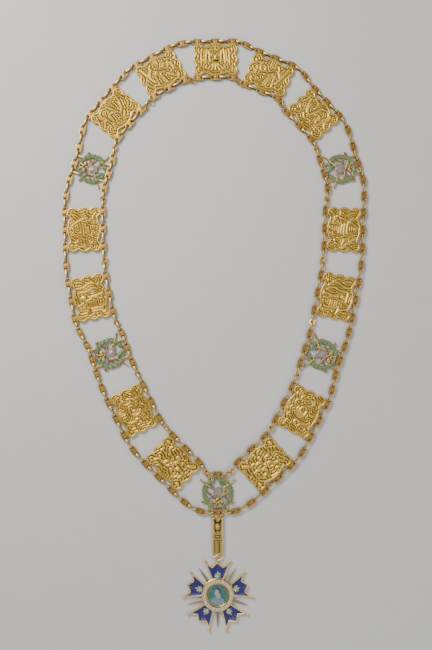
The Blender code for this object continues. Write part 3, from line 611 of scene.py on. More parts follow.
# Raised worms of metal in each design, and whether it is its own mirror image: where each starts, where
# it heads, how long it runs, how far it bends on the way and how wide it is, in mm and degrees, and
# for some the pitch of the beads on it
figures = {
    "mask": (True, (
        (0, 13, -90, 4.2, 0, 0.8), (1.1, 8.6, 40, 7.5, -150, 1.4), (1.6, 5.2, 30, 5.5, -260, 1.0),
        (4.9, 6.5, -88, 8.5, -6, 1.3), (0.2, 3.6, -90, 3.2, 0, 1.6), (1.2, 0.7, 0, 1.6, -60, 1.0),
        (0.3, -3.0, 0, 3.2, -90, 1.1), (0, -4.6, -90, 4.6, 0, 1.0, 1.1),
        (1.2, -4.8, -68, 4.8, 10, 1.0, 1.1), (2.6, -4.4, -45, 4.6, 10, 1.0, 1.1),
        (0.3, -11.2, 5, 6.6, 50, 0.9), (7.2, 9.2, -80, 12.5, -8, 1.3), (9.4, 8.6, -84, 10.5, 0, 1.0),
        (11.6, 9.6, -80, 13, -14, 1.3), (14.3, 10.0, -60, 5.4, -90, 1.2), (15.6, 4.4, -120, 6.5, 100, 1.2),
        (7.6, -5.2, -40, 4.4, -130, 1.2), (12.2, -5.0, -60, 4.6, 150, 1.2), (9.0, -10.4, 10, 5.4, 40, 1.0),
        (14.5, -10.6, 60, 3.0, 40, 1.2), (3.2, 11.3, 15, 4.6, -30, 1.0),
    )),
    "serpent": (False, (
        (-6.6, 6.2, 0, 12.6, -300, 1.5), (-4.6, 3.6, 0, 0.2, 0, 2.2), (-8.4, 9.6, -120, 13, 30, 1.4),
        (-1.2, 12.6, -90, 5.2, 0, 1.1), (0.9, 12.8, -90, 5.6, 0, 1.1), (3.0, 12.6, -90, 5.2, 8, 1.1),
        (-3.8, -1.0, 10, 8.4, 30, 1.6), (4.2, 0.8, -120, 11.5, 20, 1.4), (6.0, 1.4, -95, 11.5, 12, 1.3),
        (0.8, -1.6, -110, 9.5, 10, 1.3), (14.8, 10.2, -108, 17, -8, 1.9, 1.5),
        (11.4, 9.6, -112, 8.5, 20, 1.2), (5.6, 9.8, -40, 6.2, -60, 1.5), (6.2, 5.6, -20, 4.6, -60, 1.3),
        (-12.2, 4.0, -80, 8.6, -60, 1.5), (-15.6, 9.6, -70, 5.6, 110, 1.2), (-15.8, 2.6, -80, 5.2, 90, 1.2),
        (-8.8, -7.4, -20, 4.6, 300, 1.2), (-13.8, -7.0, -60, 5.2, 100, 1.3), (-5.4, -11.6, 0, 4.6, 30, 1.0),
        (9.4, -8.4, -60, 5.0, 130, 1.3), (14.6, -4.8, -90, 5.6, -50, 1.4), (2.0, -11.4, 10, 6.2, 20, 1.0),
        (-10.6, -11.2, 170, 4.6, -60, 1.1), (15.6, 3.2, -100, 4.6, 60, 1.1),
    )),
    "arches": (False, (
        (-2.6, -4.0, 66, 13.5, 14, 1.6), (2.9, 8.8, 50, 12.5, -150, 1.5), (1.8, 0.4, 84, 8.4, -178, 1.3),
        (5.6, 2.2, -92, 6.4, 30, 1.5), (-11.0, 8.2, -76, 10.5, 18, 1.4), (-7.6, 5.6, -88, 8.6, 30, 1.3),
        (-5.0, -2.2, -90, 0.3, 0, 2.4), (-6.4, -5.2, -60, 5.8, 60, 1.4), (-13.8, 10.2, -80, 7.4, -30, 1.2),
        (11.8, 9.4, -60, 8.8, -70, 1.4), (12.6, 1.4, -60, 7.6, 60, 1.4), (9.6, 4.4, -80, 8.6, -20, 1.2),
        (0.2, -6.6, 60, 5.6, -220, 1.1), (7.8, -6.2, 50, 6.0, -240, 1.1), (-1.0, -11.8, 10, 7.2, 10, 1.0),
        (-9.0, 11.0, -20, 6.6, 30, 1.1), (-3.4, 9.4, -70, 5.6, -30, 1.3), (-14.8, -1.0, -80, 5.6, 80, 1.2),
        (-14.0, -8.4, -30, 5.6, 120, 1.2), (13.4, -8.2, -120, 4.8, -140, 1.2),
        (15.8, 6.4, -80, 4.2, -60, 1.0), (6.4, 11.6, -14, 5.0, -30, 1.0), (-9.2, -10.6, -10, 4.6, -50, 1.0),
        (1.4, 6.4, -98, 6.2, 8, 1.0),
    )),
    "crossing": (False, (
        (0.6, 13.0, -148, 19.5, 50, 1.7), (7.0, 10.6, -52, 17, -6, 1.6), (-10.4, 8.4, -64, 6.8, 40, 1.4),
        (-4.4, 3.2, -10, 8.2, 14, 1.3), (-4.8, 0.9, -12, 8.6, 14, 1.3), (-4.2, -1.5, -12, 8.0, 14, 1.3),
        (-1.6, -3.9, -12, 5.0, 10, 1.2), (6.6, 5.6, -58, 6.0, -20, 1.3), (8.8, 1.4, -40, 5.4, 20, 1.2),
        (5.6, 0.2, -60, 5.6, -20, 1.2), (-15.8, -3.2, 24, 6.2, -120, 1.4),
        (-14.8, -10.6, 50, 7.4, -60, 1.4), (-7.2, -9.4, 40, 5.8, -260, 1.1),
        (-2.0, -9.6, 40, 5.8, -260, 1.1), (3.2, -9.4, 40, 5.8, -260, 1.1), (-0.4, 9.2, 0, 0.2, 0, 2.0),
        (2.6, 7.0, -60, 4.6, -50, 1.1), (-6.6, -4.6, -30, 4.6, -80, 1.2), (11.4, 9.2, -60, 5.6, -110, 1.2),
        (15.4, 4.8, -100, 6.0, 50, 1.1), (9.0, -7.4, -20, 5.6, 120, 1.2), (-15.0, 8.6, -80, 6.6, 40, 1.2),
        (-12.4, 3.6, -80, 4.6, -60, 1.1), (-11.2, -6.6, -10, 3.6, 60, 1.0), (13.6, -10.4, 80, 3.6, 60, 1.1),
    )),
    "warrior": (False, (
        (-4.6, 9.4, 0, 9.0, -14, 1.6), (-0.2, 6.0, -90, 0.4, 0, 4.2), (-3.2, 4.0, -70, 6.4, 20, 1.2),
        (3.0, 4.2, -104, 6.0, -14, 1.2), (-0.4, 0.8, -90, 4.6, 4, 2.4), (-0.6, -4.6, -110, 5.8, 20, 1.4),
        (0.8, -4.6, -68, 5.8, -10, 1.4), (-9.4, 10.6, -74, 9.8, -50, 1.5),
        (-11.6, 0.8, -110, 10.5, 80, 1.5), (-5.6, 8.0, -84, 9.2, -24, 1.4),
        (-7.4, -1.0, -100, 9.0, 60, 1.3), (6.0, 11.4, -110, 5.6, -10, 1.4), (4.4, 1.6, 0, 4.6, 0, 1.0),
        (4.2, -0.4, 0, 4.4, 0, 1.0), (4.2, -2.4, 0, 4.4, 0, 1.0), (4.0, -4.4, 0, 4.4, 0, 1.0),
        (9.8, 0.6, -90, 9.6, 0, 1.3), (12.0, 0.0, -90, 9.4, 4, 1.3), (8.4, 3.4, 10, 7.0, -50, 1.3),
        (9.6, 10.8, -86, 6.2, 20, 1.3), (12.6, 10.4, -70, 6.2, -50, 1.3), (-14.4, 10.4, -90, 6.8, 30, 1.2),
        (-15.4, 0.6, -80, 6.4, 40, 1.2), (-13.6, -9.6, -10, 4.6, 70, 1.2), (4.8, -10.8, 0, 5.6, 50, 1.1),
        (-5.2, -11.8, 10, 5.6, -20, 1.0), (15.6, 3.6, -90, 5.4, -40, 1.1), (14.4, -8.6, -90, 3.8, -60, 1.2),
    )),
    "shield": (False, (
        (-3.4, 12.2, -88, 4.4, 0, 0.9), (-1.6, 12.4, -84, 4.8, 10, 0.9), (0.4, 12.2, -92, 4.2, 0, 0.9),
        (-4.2, 2.4, 50, 17.5, -200, 1.5), (-4.6, 0.4, -60, 10.5, 130, 1.3), (-1.0, 3.6, 10, 8.6, -120, 1.3),
        (0.8, 0.2, -90, 0.3, 0, 2.6), (-3.0, -3.6, -40, 5.2, 90, 1.1), (-14.6, 4.6, 60, 14, -190, 1.4),
        (-13.8, -2.6, -70, 7.4, 120, 1.3), (-10.6, 1.6, -90, 4.8, 40, 1.2), (12.6, 0.6, 90, 14.5, 330, 1.3),
        (11.0, -1.0, 0, 0.2, 0, 1.8), (5.4, 10.6, -30, 7.2, -60, 1.3), (11.8, 9.4, -20, 5.2, -90, 1.2),
        (-7.2, 10.2, 200, 6.8, 70, 1.3), (-8.6, -6.6, -50, 6.4, 90, 1.3), (-1.4, -8.8, -50, 4.8, 90, 1.2),
        (4.6, -8.4, -50, 5.8, 100, 1.2), (10.4, -7.6, -30, 6.0, 30, 1.2), (-13.6, -9.8, -20, 4.6, 60, 1.2),
        (-4.0, -12.0, 4, 7.4, -6, 1.0), (15.6, -5.6, -100, 4.6, -30, 1.1), (7.6, 6.4, -60, 5.0, -30, 1.1),
        (-9.4, 6.8, -20, 4.4, -60, 1.1),
    )),
    "limbs": (False, (
        (0, 1.0, 0, 0.4, 0, 3.0), (1.6, 2.0, 40, 6.4, -130, 1.7), (6.8, 1.2, -60, 5.4, 120, 1.3),
        (-1.8, 1.4, 200, 6.0, -140, 1.7), (-6.8, 4.6, 130, 6.2, 130, 1.3), (-1.0, 3.2, 100, 5.6, 110, 1.5),
        (-4.6, 9.0, 190, 6.0, -100, 1.2), (2.6, 4.6, 80, 5.8, -120, 1.5), (7.4, 8.6, -20, 6.0, -90, 1.2),
        (1.4, -1.4, -80, 6.4, 110, 1.5), (6.6, -5.6, -30, 6.4, 120, 1.3),
        (-2.0, -1.2, -100, 6.2, -120, 1.5), (-7.4, -4.2, 200, 6.4, 100, 1.3),
        (-0.4, -6.0, -90, 5.8, 300, 1.2), (11.6, -7.2, -38, 5.0, 0, 1.7), (14.7, 9.8, 0, 0.3, 0, 2.6),
        (-14.7, -9.8, 0, 0.3, 0, 2.6), (-12.6, 8.6, -80, 5.8, 90, 1.3), (-14.4, -1.0, -60, 5.2, -110, 1.2),
        (11.6, 5.4, -60, 5.6, -60, 1.3), (-2.6, 12.4, 0, 5.4, -20, 1.1), (-4.8, -11.4, -10, 4.8, 60, 1.1),
        (2.2, -11.6, 0, 4.6, 30, 1.0),
    )),
}


def lobeCorners():
    # Where the arcs of a plaque's outline meet: a corner lobe's radius and middle, and where it ends
    # on the long and on the short side, at the depth of the notch there
    r = plaqueSet["lobeRadius"]
    cx, cy = plaqueSet["halfLength"] - r, plaqueSet["halfHeight"] - r
    longEnd = cx - np.sqrt(r**2 - (r - plaqueSet["longNotch"]) ** 2)
    shortEnd = cy - np.sqrt(r**2 - (r - plaqueSet["shortNotch"]) ** 2)
    return r, cx, cy, longEnd, shortEnd


def lobeTip():
    # The point of a corner lobe that stands out farthest, halfway round its arc
    r, cx, cy, _, _ = lobeCorners()
    return cx + r * np.sqrt(0.5), cy + r * np.sqrt(0.5)


def sideCurve(along, longSide):
    # How far out a plaque's side lies: corner lobe, short flat notch, shallow middle lobe
    r, cx, cy, longEnd, shortEnd = lobeCorners()
    centre, end, notch, half = (
        (cx, longEnd, plaqueSet["longNotch"], plaqueSet["halfHeight"]) if longSide
        else (cy, shortEnd, plaqueSet["shortNotch"], plaqueSet["halfLength"])
    )
    along = np.abs(along)
    lobe = half - r + np.sqrt(np.clip(r**2 - (along - centre) ** 2, 0, None))
    chord = end - plaqueSet["notchFloor"]
    wide = (chord**2 + notch**2) / (2 * notch)
    middle = half - wide + np.sqrt(np.clip(wide**2 - along**2, 0, None))
    return np.where(along >= end, lobe, np.where(along <= chord, middle, half - notch))


def plaqueGrid():
    # Points of a lobed sheet: a rectangle whose sides are drawn out to the side curves, by the cube
    # of the share of the way to the side
    endX, endY = lobeTip()
    s = np.linspace(-1, 1, plaqueSet["columns"])[None, :]
    t = np.linspace(-1, 1, plaqueSet["rows"])[:, None]
    x = s * endX + s * (sideCurve(t * endY, False) - endX) * np.abs(s) ** 3
    y = t * endY + t * (sideCurve(s * endX, True) - endY) * np.abs(t) ** 3
    return x, y


def nearest(spot, path):
    # For each spot and each piece of a path: the distance, and the share of the piece at its foot
    a, ab = path[:-1], np.diff(path, axis=0)
    share = np.clip(((spot - a) * ab).sum(-1) / (ab**2).sum(-1), 0, 1)
    return np.sqrt((((a + share[..., None] * ab) - spot) ** 2).sum(-1)), share


def outlineGap(x, y):
    # Distance from each point to the plaque's outline, taken to short pieces of it
    endX, endY = lobeTip()
    along, up = np.linspace(0, endX, 70), np.linspace(0, endY, 60)
    ring = np.concatenate([
        np.stack([along, sideCurve(along, True)], -1), np.stack([sideCurve(up, False), up], -1)[-2::-1]
    ])
    spot = np.stack([np.abs(x).ravel(), np.abs(y).ravel()], -1)[:, None]
    return nearest(spot, ring)[0].min(1).reshape(x.shape)


def wormLifts(x, y, table, mirror):
    # Height of the worms, as the round back of a rod along each curved path, and the gap to them
    steps = 10
    startX, startY, heading, length, bend, width, beads = np.array([(*row, 0)[:7] for row in table]).T
    share = (np.arange(steps) + 0.5) / steps
    turn = np.radians(heading[:, None] + bend[:, None] * share)
    step = (length / steps)[:, None, None] * np.stack([np.cos(turn), np.sin(turn)], -1)
    start = np.stack([startX, startY], -1)[:, None]
    paths = np.concatenate([start, start + np.cumsum(step, axis=1)], axis=1)
    if mirror:
        paths = np.concatenate([paths, paths * (-1, 1)])
        width, length, beads = (np.tile(part, 2) for part in (width, length, beads))
    spot = np.stack([x.ravel(), y.ravel()], -1)[:, None]
    row = np.arange(len(spot))
    lift, gap = np.zeros(len(spot)), np.full(len(spot), 9.0)
    for path, wide, run, pitch in zip(paths, width / 2 * plaqueSet["wormWidth"], length, beads):
        away, part = nearest(spot, path)
        near = away.argmin(1)
        away = away[row, near]
        back = np.sqrt(np.clip(1 - (away / wide) ** 2, 0, 1)) ** 0.8
        if pitch:
            back *= 0.66 + 0.34 * np.cos(2 * np.pi * (near + part[row, near]) * run / steps / pitch)
        lift, gap = np.maximum(lift, back), np.minimum(gap, away - wide)
    return lift.reshape(x.shape), gap.reshape(x.shape)


def wormFilling(table, mirror, seed, pitch):
    # Worms that grow between the figures by themselves: ripples of one pitch are made stronger step
    # by step, u += e*u - (1 - k*k/k0*k0)**2*u + b*u**2 - u**3, and lie alongside a figure near them
    cell, step = 0.22, 0.5
    x, y = np.meshgrid(np.arange(-96, 97) * cell, np.arange(-74, 75) * cell)
    _, gap = wormLifts(x, y, table, mirror)
    wave = 2 * np.pi / pitch
    u = np.clip(0.8 * np.random.default_rng(seed).standard_normal(x.shape), -1.2, 1.2)
    held = np.where(gap < 0, 1.0, np.cos(wave * gap))
    hold = 1 - softStep(gap, 0.5, 1.0)
    kx, ky = (np.fft.fftfreq(count, cell) * 2 * np.pi for count in x.shape[::-1])
    growth = 0.75 - (1 - (kx[None] ** 2 + ky[:, None] ** 2) / wave**2) ** 2
    for _ in range(plaqueSet["wormSteps"]):
        u = u + hold * (held - u) * 0.5
        pushed = u + step * (plaqueSet["wormBreaks"] * u**2 - u**3)
        u = np.real(np.fft.ifft2(np.fft.fft2(pushed) / (1 - step * growth)))
    return x[0], y[:, 0], u


def sampled(columnsAt, rowsAt, values, x, y):
    # Values between grid points by their distances to the four around
    i = np.clip((x - columnsAt[0]) / (columnsAt[1] - columnsAt[0]), 0, len(columnsAt) - 1.001)
    j = np.clip((y - rowsAt[0]) / (rowsAt[1] - rowsAt[0]), 0, len(rowsAt) - 1.001)
    a, b = i.astype(int), j.astype(int)
    s, t = i - a, j - b
    return (
        values[b, a] * (1 - s) * (1 - t) + values[b, a + 1] * s * (1 - t)
        + values[b + 1, a] * (1 - s) * t + values[b + 1, a + 1] * s * t
    )


def plaqueSkin(design, seed, x, y, rimGap):
    # Height = rounded rim near the outline; inside it ground + worms between + the figure's worms
    mirror, table = figures[design]
    lift, _ = wormLifts(x, y, table, mirror)
    pitch = plaqueSet["ownPitch"].get(design, plaqueSet["wormPitch"])
    filling = np.clip(0.62 + 0.56 * sampled(*wormFilling(table, mirror, seed, pitch), x, y), 0, 1)
    ground, high = plaqueSet["ground"], plaqueSet["crown"]
    crown = high * (1 - (x / plaqueSet["halfLength"]) ** 2) * (1 - (y / plaqueSet["halfHeight"]) ** 2)
    worms = np.sqrt(filling) * (plaqueSet["wormTop"] - ground)
    inside = ground + crown + np.maximum(worms, lift * (plaqueSet["figureTop"] - ground - high))
    rimWidth = plaqueSet["rimWidth"]
    bow = np.sqrt(np.clip(1 - ((rimGap - 0.55 * rimWidth) / (0.62 * rimWidth)) ** 2, 0, 1))
    rim = plaqueSet["rimEdge"] + (plaqueSet["rimTop"] - plaqueSet["rimEdge"]) * bow
    inner = softStep(rimGap, rimWidth * 0.9, rimWidth * 1.35)
    groove = np.exp(-((rimGap - rimWidth * 1.2) / 0.25) ** 2)
    top = rim * (1 - inner) + inside * inner - 0.12 * groove
    # Painted shade on the ground between the worms and in the groove inside the rim
    hollow = np.clip((1.25 - 1.65 * np.maximum(filling * 0.95, lift)) * inner + 0.4 * groove, 0, 1)
    named, pitX, pitY, pitWide, pitHigh = plaqueSet["pit"]
    if design == named:
        pit = 1 - softStep(np.maximum(np.abs(x - pitX) / pitWide, np.abs(y - pitY) / pitHigh), 0.75, 1.1)
        top = top * (1 - pit) + (ground - 0.3) * pit
        # Painted shade in the mask's open mouth
        hollow = np.maximum(hollow, pit)
    return plate(x, y, top, 0.0, "plaqueGold", hollow)


plaqueX, plaqueY = plaqueGrid()
plaqueGap = outlineGap(plaqueX, plaqueY)
plaqueSkins = {
    name: plaqueSkin(name, seed, plaqueX, plaqueY, plaqueGap) for seed, name in enumerate(figures)
}
for number, place in enumerate(places, 1):
    if place.design != "wreath":
        name = f"plaque_{number:02d}"
        shape = moved(plaqueSkins[place.design], *middleOf(place), place.turn, place.mirror)
        makePiece(name + ".relief", [shape], [name], 60)
print("plaques struck:", len([place for place in places if place.design != "wreath"]))


# Chains

chainSet = {
    "plaqueOffset": 16.4,  # from the plate's middle out to the chain's line
    "plaqueSpan": 15.4,  # half the straight run past the plate
    "wreathOffset": 15.6,
    "wreathSpan": 7.5,
    "height": 1.9,  # of the links' middle
    "holeReach": 2.9,  # from a flat link's middle to its holes
    "holeHook": 0.75,  # from a hole's middle to the upright link's end in it
    "ringHook": 0.7,  # from a round link's middle to the upright link's end in it
    "roundLinksAfter": {1: 2, 2: 2, 5: 2, 8: 1, 9: 1, 10: 1, 11: 1, 14: 2, 17: 2, 18: 2},  # by plate number
    "flatHalfLength": 5.1,
    "flatHalfWidth": 2.55,
    "holeRadius": 1.25,
    "thickness": 1.3,
    "ringRadius": 2.05,  # of a round link's middle line
    "ringHang": 2.0,  # how far inwards a round link hangs from the holes it joins
    "ringStep": 3.5,  # between two round links that hang side by side
    "ringLean": 21,
    "longGap": 14,  # a gap with so much room between its holes takes more than one upright link
    "shortGap": 9,  # with less than this, two round links hang in each other
    "ringInHole": 1.9,  # from a hole's middle to the middle of a round link that hangs in it
    "ringPastHole": 3.1,  # and to the upright link's end in that round link
    "ovalHeight": 3.4,
    "ovalWidth": 1.5,
    "ovalWire": 0.42,
}


def chainRoute(side):
    # A chain's line: straight past each plate, a smooth cubic from plate to plate, cut in short pieces
    ends = []
    for place in places:
        kind = "wreath" if place.design == "wreath" else "plaque"
        span, offset = chainSet[kind + "Span"], side * chainSet[kind + "Offset"]
        turn = np.radians(place.turn)
        along = np.array((np.cos(turn), np.sin(turn)))
        middle = middleOf(place) + offset * np.array((-along[1], along[0]))
        ends.append((middle - span * along, middle + span * along, along))
    points, stops, pieces = [], [], 40
    share = np.linspace(0, 1, pieces, endpoint=False)[:, None]
    for (start, end, along), (nextStart, _, nextAlong) in zip(ends, ends[1:] + ends[:1]):
        stops.append(len(points) * pieces + pieces // 2)
        points.append(start + (end - start) * share)
        reach = np.linalg.norm(nextStart - end)
        points.append(
            (2 * share**3 - 3 * share**2 + 1) * end + (share**3 - 2 * share**2 + share) * reach * along
            + (3 * share**2 - 2 * share**3) * nextStart + (share**3 - share**2) * reach * nextAlong
        )
    line = np.concatenate(points)
    length = np.concatenate([[0], np.cumsum(np.linalg.norm(np.roll(line, -1, 0) - line, axis=1))])
    return np.concatenate([line, line[:1]]), length, length[stops]


def chainLinks(side):
    # Flat links stand at fixed places by the plates. Between two of them others, round links among
    # them, are spread so that all the upright links of that gap are equally long. Where the inner
    # chain has round links alone, they hang a little inwards from it.
    line, length, stops = chainRoute(side)
    total = length[-1]
    reach, hook, ringHook = (chainSet[key] for key in ("holeReach", "holeHook", "ringHook"))
    span, hang, aside = chainSet["plaqueSpan"], chainSet["ringHang"], chainSet["ringStep"] / 2
    ringIn, ringPast = chainSet["ringInHole"], chainSet["ringPastHole"]
    fixed = []  # where each stands, whether by a wreath, and how many round links follow it
    for number, (place, stop) in enumerate(zip(places, stops), 1):
        rings = chainSet["roundLinksAfter"].get(number, 0) if side < 0 else 0
        if place.design == "wreath":
            fixed.append((stop, True, rings))
        else:
            fixed += [(stop - span, False, 0), (stop, False, 0), (stop + span, False, rings)]
    flats, rounds, inward, spans = [], [], [], []
    for (start, byWreath, rings), (end, toWreath, _) in zip(fixed, fixed[1:] + fixed[:1]):
        end += total if end < start else 0
        flats.append(start)
        free = end - start - 2 * reach
        first, last = start + reach, end - reach
        roomy = free > chainSet["longGap"]
        if rings == 2 and roomy:
            middle = (start + end) / 2
            rounds += [middle - aside, middle + aside]
            inward += [hang * 0.3] * 2
            spans += [(first + hook, middle - aside - ringHook), (middle + aside + ringHook, last - hook)]
        elif rings == 2:
            rounds += [first + ringIn, last - ringIn]
            inward += [hang] * 2
            if free > chainSet["shortGap"]:
                spans.append((first + ringPast, last - ringPast))
        else:
            kinds = "R" if rings else ""
            if roomy and not rings:
                kinds = "FF" if byWreath or toWreath else "F"
                if side < 0:
                    kinds = "FR" if byWreath else "RF"
            pitch = (free - 2 * reach * kinds.count("F")) / (len(kinds) + 1)
            at = first
            for kind in kinds:
                spans.append((at + hook, at + pitch - (hook if kind == "F" else ringHook)))
                at += pitch
                if kind == "F":
                    flats.append(at + reach)
                    at += 2 * reach
                else:
                    rounds.append(at)
                    inward.append(hang * 0.3 if rings else 0)
            spans.append((at + (ringHook if kinds.endswith("R") else hook), last - hook))
    flats, spans = np.array(flats), np.array(spans)

    def spot(at):
        # Points of the chain's line at these lengths along it
        return np.stack([np.interp(np.mod(at, total), length, line[:, k]) for k in (0, 1)], -1)

    ringPlaces = spot(np.array(rounds))
    ringPlaces += unit(ovalMiddle - ringPlaces) * np.array(inward)[:, None]
    return spot(flats - reach), spot(flats + reach), ringPlaces, spot(spans[:, 0]), spot(spans[:, 1])


def flatLink():
    # Half a flat link as rings from its hole outwards: a collar, a copper field, a raised rim round
    # the stadium and its wall; the rim stops where the halves meet
    half, reach, hole = chainSet["thickness"] / 2, chainSet["holeReach"], chainSet["holeRadius"]
    wide = chainSet["flatHalfWidth"]

    def edgeRing(inwards):
        # The half link's outline, so far in from its edge
        y = wide - inwards
        end = circlePath((chainSet["flatHalfLength"] - wide, 0), y, 7, -78, 78)
        return np.concatenate([end, ((1.2, y), (0, y), (0, 0.8), (0, -0.8), (0, -y), (1.2, -y))])

    away = unit(edgeRing(0) - (reach, 0))
    atJoint = np.isin(np.arange(len(away)), (9, 10))
    # The hollow column is painted shade, darkest down the hole's wall and at the foot of the walls
    rows = (  # ring, height, height where the halves meet, hollow, gilt
        (away * hole + (reach, 0), -half, -half, 1, 0),
        (away * hole + (reach, 0), half * 0.7, half * 0.7, 0.7, 1),
        (away * (hole + 0.3) + (reach, 0), half * 0.85, half * 0.75, 0, 1),
        (away * (hole + 0.42) + (reach, 0), half * 0.55, half * 0.55, 0.35, 0),
        (edgeRing(0.55), half * 0.6, half * 0.6, 0.3, 0),
        (edgeRing(0.42), half, half * 0.6, 0, 1),
        (edgeRing(0.1), half * 0.95, half * 0.6, 0, 1),
        (edgeRing(0), -half, -half, 0.8, 1),
    )
    rings = np.stack([atHeight(ring, np.where(atJoint, low, z)) for ring, z, low, _, _ in rows])
    dark, gilt = (np.array([row[k] for row in rows])[:, None] for k in (3, 4))
    right = tube(rings, "copperGold", dark, gilt, closed=True)
    padOutline = ((-0.85, -2.0), (0.85, -2.0), (1.0, 0), (0.85, 2.0), (-0.85, 2.0), (-1.0, 0))
    pad = domed(padOutline, (0, 0), 0, half * 0.68, 0.12, "copperGold", rings=2)
    return [right, moved(right, turn=180), pad]


def uprightLink():
    # An oval wire on edge from hole to hole: round ends, level top and bottom runs, 1 mm long
    thick, wide, corners = chainSet["ovalWire"], chainSet["ovalWidth"] / 2, 6
    tall = chainSet["ovalHeight"] / 2 - thick
    turn = np.radians(np.linspace(-90, 90, 5))
    ends = np.stack([np.cos(turn) * 0.45, np.sin(turn) * tall], -1)
    loop = np.concatenate([ends + (0.5, 0), -ends - (0.5, 0)])
    out = rightOf(headings(loop, closed=True))
    angle = np.arange(corners) * 2 * np.pi / corners
    points = np.stack([
        loop[:, :1] + out[:, :1] * np.cos(angle) * thick,
        np.sin(angle) * wide + 0 * loop[:, :1],
        loop[:, 1:] + out[:, 1:] * np.cos(angle) * thick,
    ], -1)
    # Painted shade on the lower run, the top run left light
    return tube(points, "linkGold", np.where(loop[:, 1:] < 0, 0.9, 0.1), closed=True)


def turnTables(rows):
    # Many 3 by 3 matrices from three rows whose entries are arrays, one value for each matrix
    return np.stack([np.stack(row, -1) for row in rows], 1)


def turnsAlong(gap):
    # For each gap: the matrix that lays +X along it, ((c, -s, 0), (s, c, 0), (0, 0, 1)), and its length
    reach = np.linalg.norm(gap, axis=1)
    c, s = gap.T / reach
    zero = 0 * c
    return turnTables(((c, -s, zero), (s, c, zero), (zero, zero, zero + 1))), reach


def chainPiece(name, side):
    # A whole chain: flat links laid along their holes, upright links drawn out to the gap from hole
    # to hole, and round links that lean this way and that
    flatStart, flatEnd, rounds, spanStart, spanEnd = chainLinks(side)
    height = chainSet["height"]
    matrices, _ = turnsAlong(flatEnd - flatStart)
    middles = atHeight((flatStart + flatEnd) / 2, height)
    skins = [copies(item, matrices, middles) for item in flatLink()]
    matrices, reach = turnsAlong(spanEnd - spanStart)
    link = uprightLink()
    longer = ((reach - 1) / 2)[:, None, None] * (np.sign(link.points[:, :1]) * (1, 0, 0))
    skins.append(copies(link, matrices, atHeight((spanStart + spanEnd) / 2, height), link.points + longer))
    if len(rounds):
        # Each ring leans the other way than the one before it, about the line to the oval's middle
        # turned square, so that two rings pass through each other
        wire = roundProfile(6, 0.62, -0.55, 0.55, 0.9)
        ring = sweep(circlePath((0, 0), chainSet["ringRadius"], 18), wire, "linkGold", closed=True)
        turns, _ = turnsAlong(rightOf(rounds - ovalMiddle))
        lean = np.radians(chainSet["ringLean"]) * (-1.0) ** np.arange(len(rounds))
        c, s, zero = np.cos(lean), np.sin(lean), 0 * lean
        leans = turnTables(((zero + 1, zero, zero), (zero, c, -s), (zero, s, c)))
        skins.append(copies(ring, turns @ leans, atHeight(rounds, height)))
    makePiece(name + ".links", skins, [name], 50)
    print(f"{name}: {len(flatStart)} flat, {len(spanStart)} upright, {len(rounds)} round links")


chainPiece("outer_chain", 1)
chainPiece("inner_chain", -1)


# Wreaths

wreathSet = {
    "ringRadius": 11.1,
    "opening": 15,  # degrees of gap to either side of the top
    "leavesPerBranch": 8,
    "leafLength": 5.6,
    "leafWidth": 2.1,
    "leafSpread": 1.15,  # how far a leaf's tip stands off the branch
    "low": 0.6,
    "high": 2.3,
    "rifleTurn": 34.5,
    "rifleRise": 1.1,
    "swordTurn": 33,
    "crossing": -4.4,  # where the swords cross, below the middle
    "barAt": 7.5,
    "bars": ((-15.7, -9.6), (15.5, 9.8)),  # from the chains inwards
}

# Along each rifle, from butt to muzzle, and each sword, from pommel to tip: how far, half width, top
rifleStock = (
    (-15.6, 1.9, 1.75), (-15.2, 2.05, 1.9), (-13.4, 1.35, 1.9), (-11.4, 0.8, 1.9), (-9.2, 0.62, 1.9),
    (-7.4, 0.9, 2.05), (-5.6, 0.85, 2.05), (-3.0, 0.7, 1.9), (2.0, 0.6, 1.8),
)
rifleBarrel = (
    (-4.6, 0.45, 2.0), (-4.2, 0.5, 2.2), (0, 0.5, 2.0), (6.6, 0.5, 2.0), (7.0, 1.2, 2.35), (8.0, 1.3, 2.4),
    (8.4, 0.6, 2.1), (9.2, 0.6, 2.1), (9.6, 1.05, 2.3), (10.6, 1.05, 2.3), (11.0, 0.62, 2.0),
    (17.2, 0.52, 1.95), (17.3, 0.66, 2.0), (17.9, 0.66, 2.0),
)
swordParts = (
    (-6.2, 0.5, 2.1), (-5.9, 0.85, 2.45), (-5.2, 0.85, 2.45), (-4.9, 0.5, 2.2), (-3.4, 0.55, 2.25),
    (-3.2, 1.5, 2.5), (-2.7, 1.5, 2.5), (-2.5, 0.62, 2.3), (0, 0.62, 2.3), (5, 0.6, 2.2), (10.6, 0.5, 2.0),
    (11.6, 0.2, 1.9),
)


def stationBar(stations, finish, turn, y, low):
    # A ridged bar whose half width and top change from station to station, turned and shifted
    along, half, top = np.array(stations, dtype=float).T[..., None]
    across = np.array((-1, -0.9, -0.3, 0, 0.3, 0.9, 1))
    up = np.array((0, 0.62, 0.95, 1, 0.95, 0.62, 0))
    # dark is painted shade down the bar's sloping sides; edge marks its gilt edges
    dark, edge = (0.7, 0.5, 0.1, 0, 0.1, 0.5, 0.7), (1, 0.9, 0, 0, 0, 0.9, 1)
    points = np.stack([along + 0 * across, half * across, low + (top - low) * up], -1)
    return moved(tube(points, finish, dark, edge), 0, y, turn)


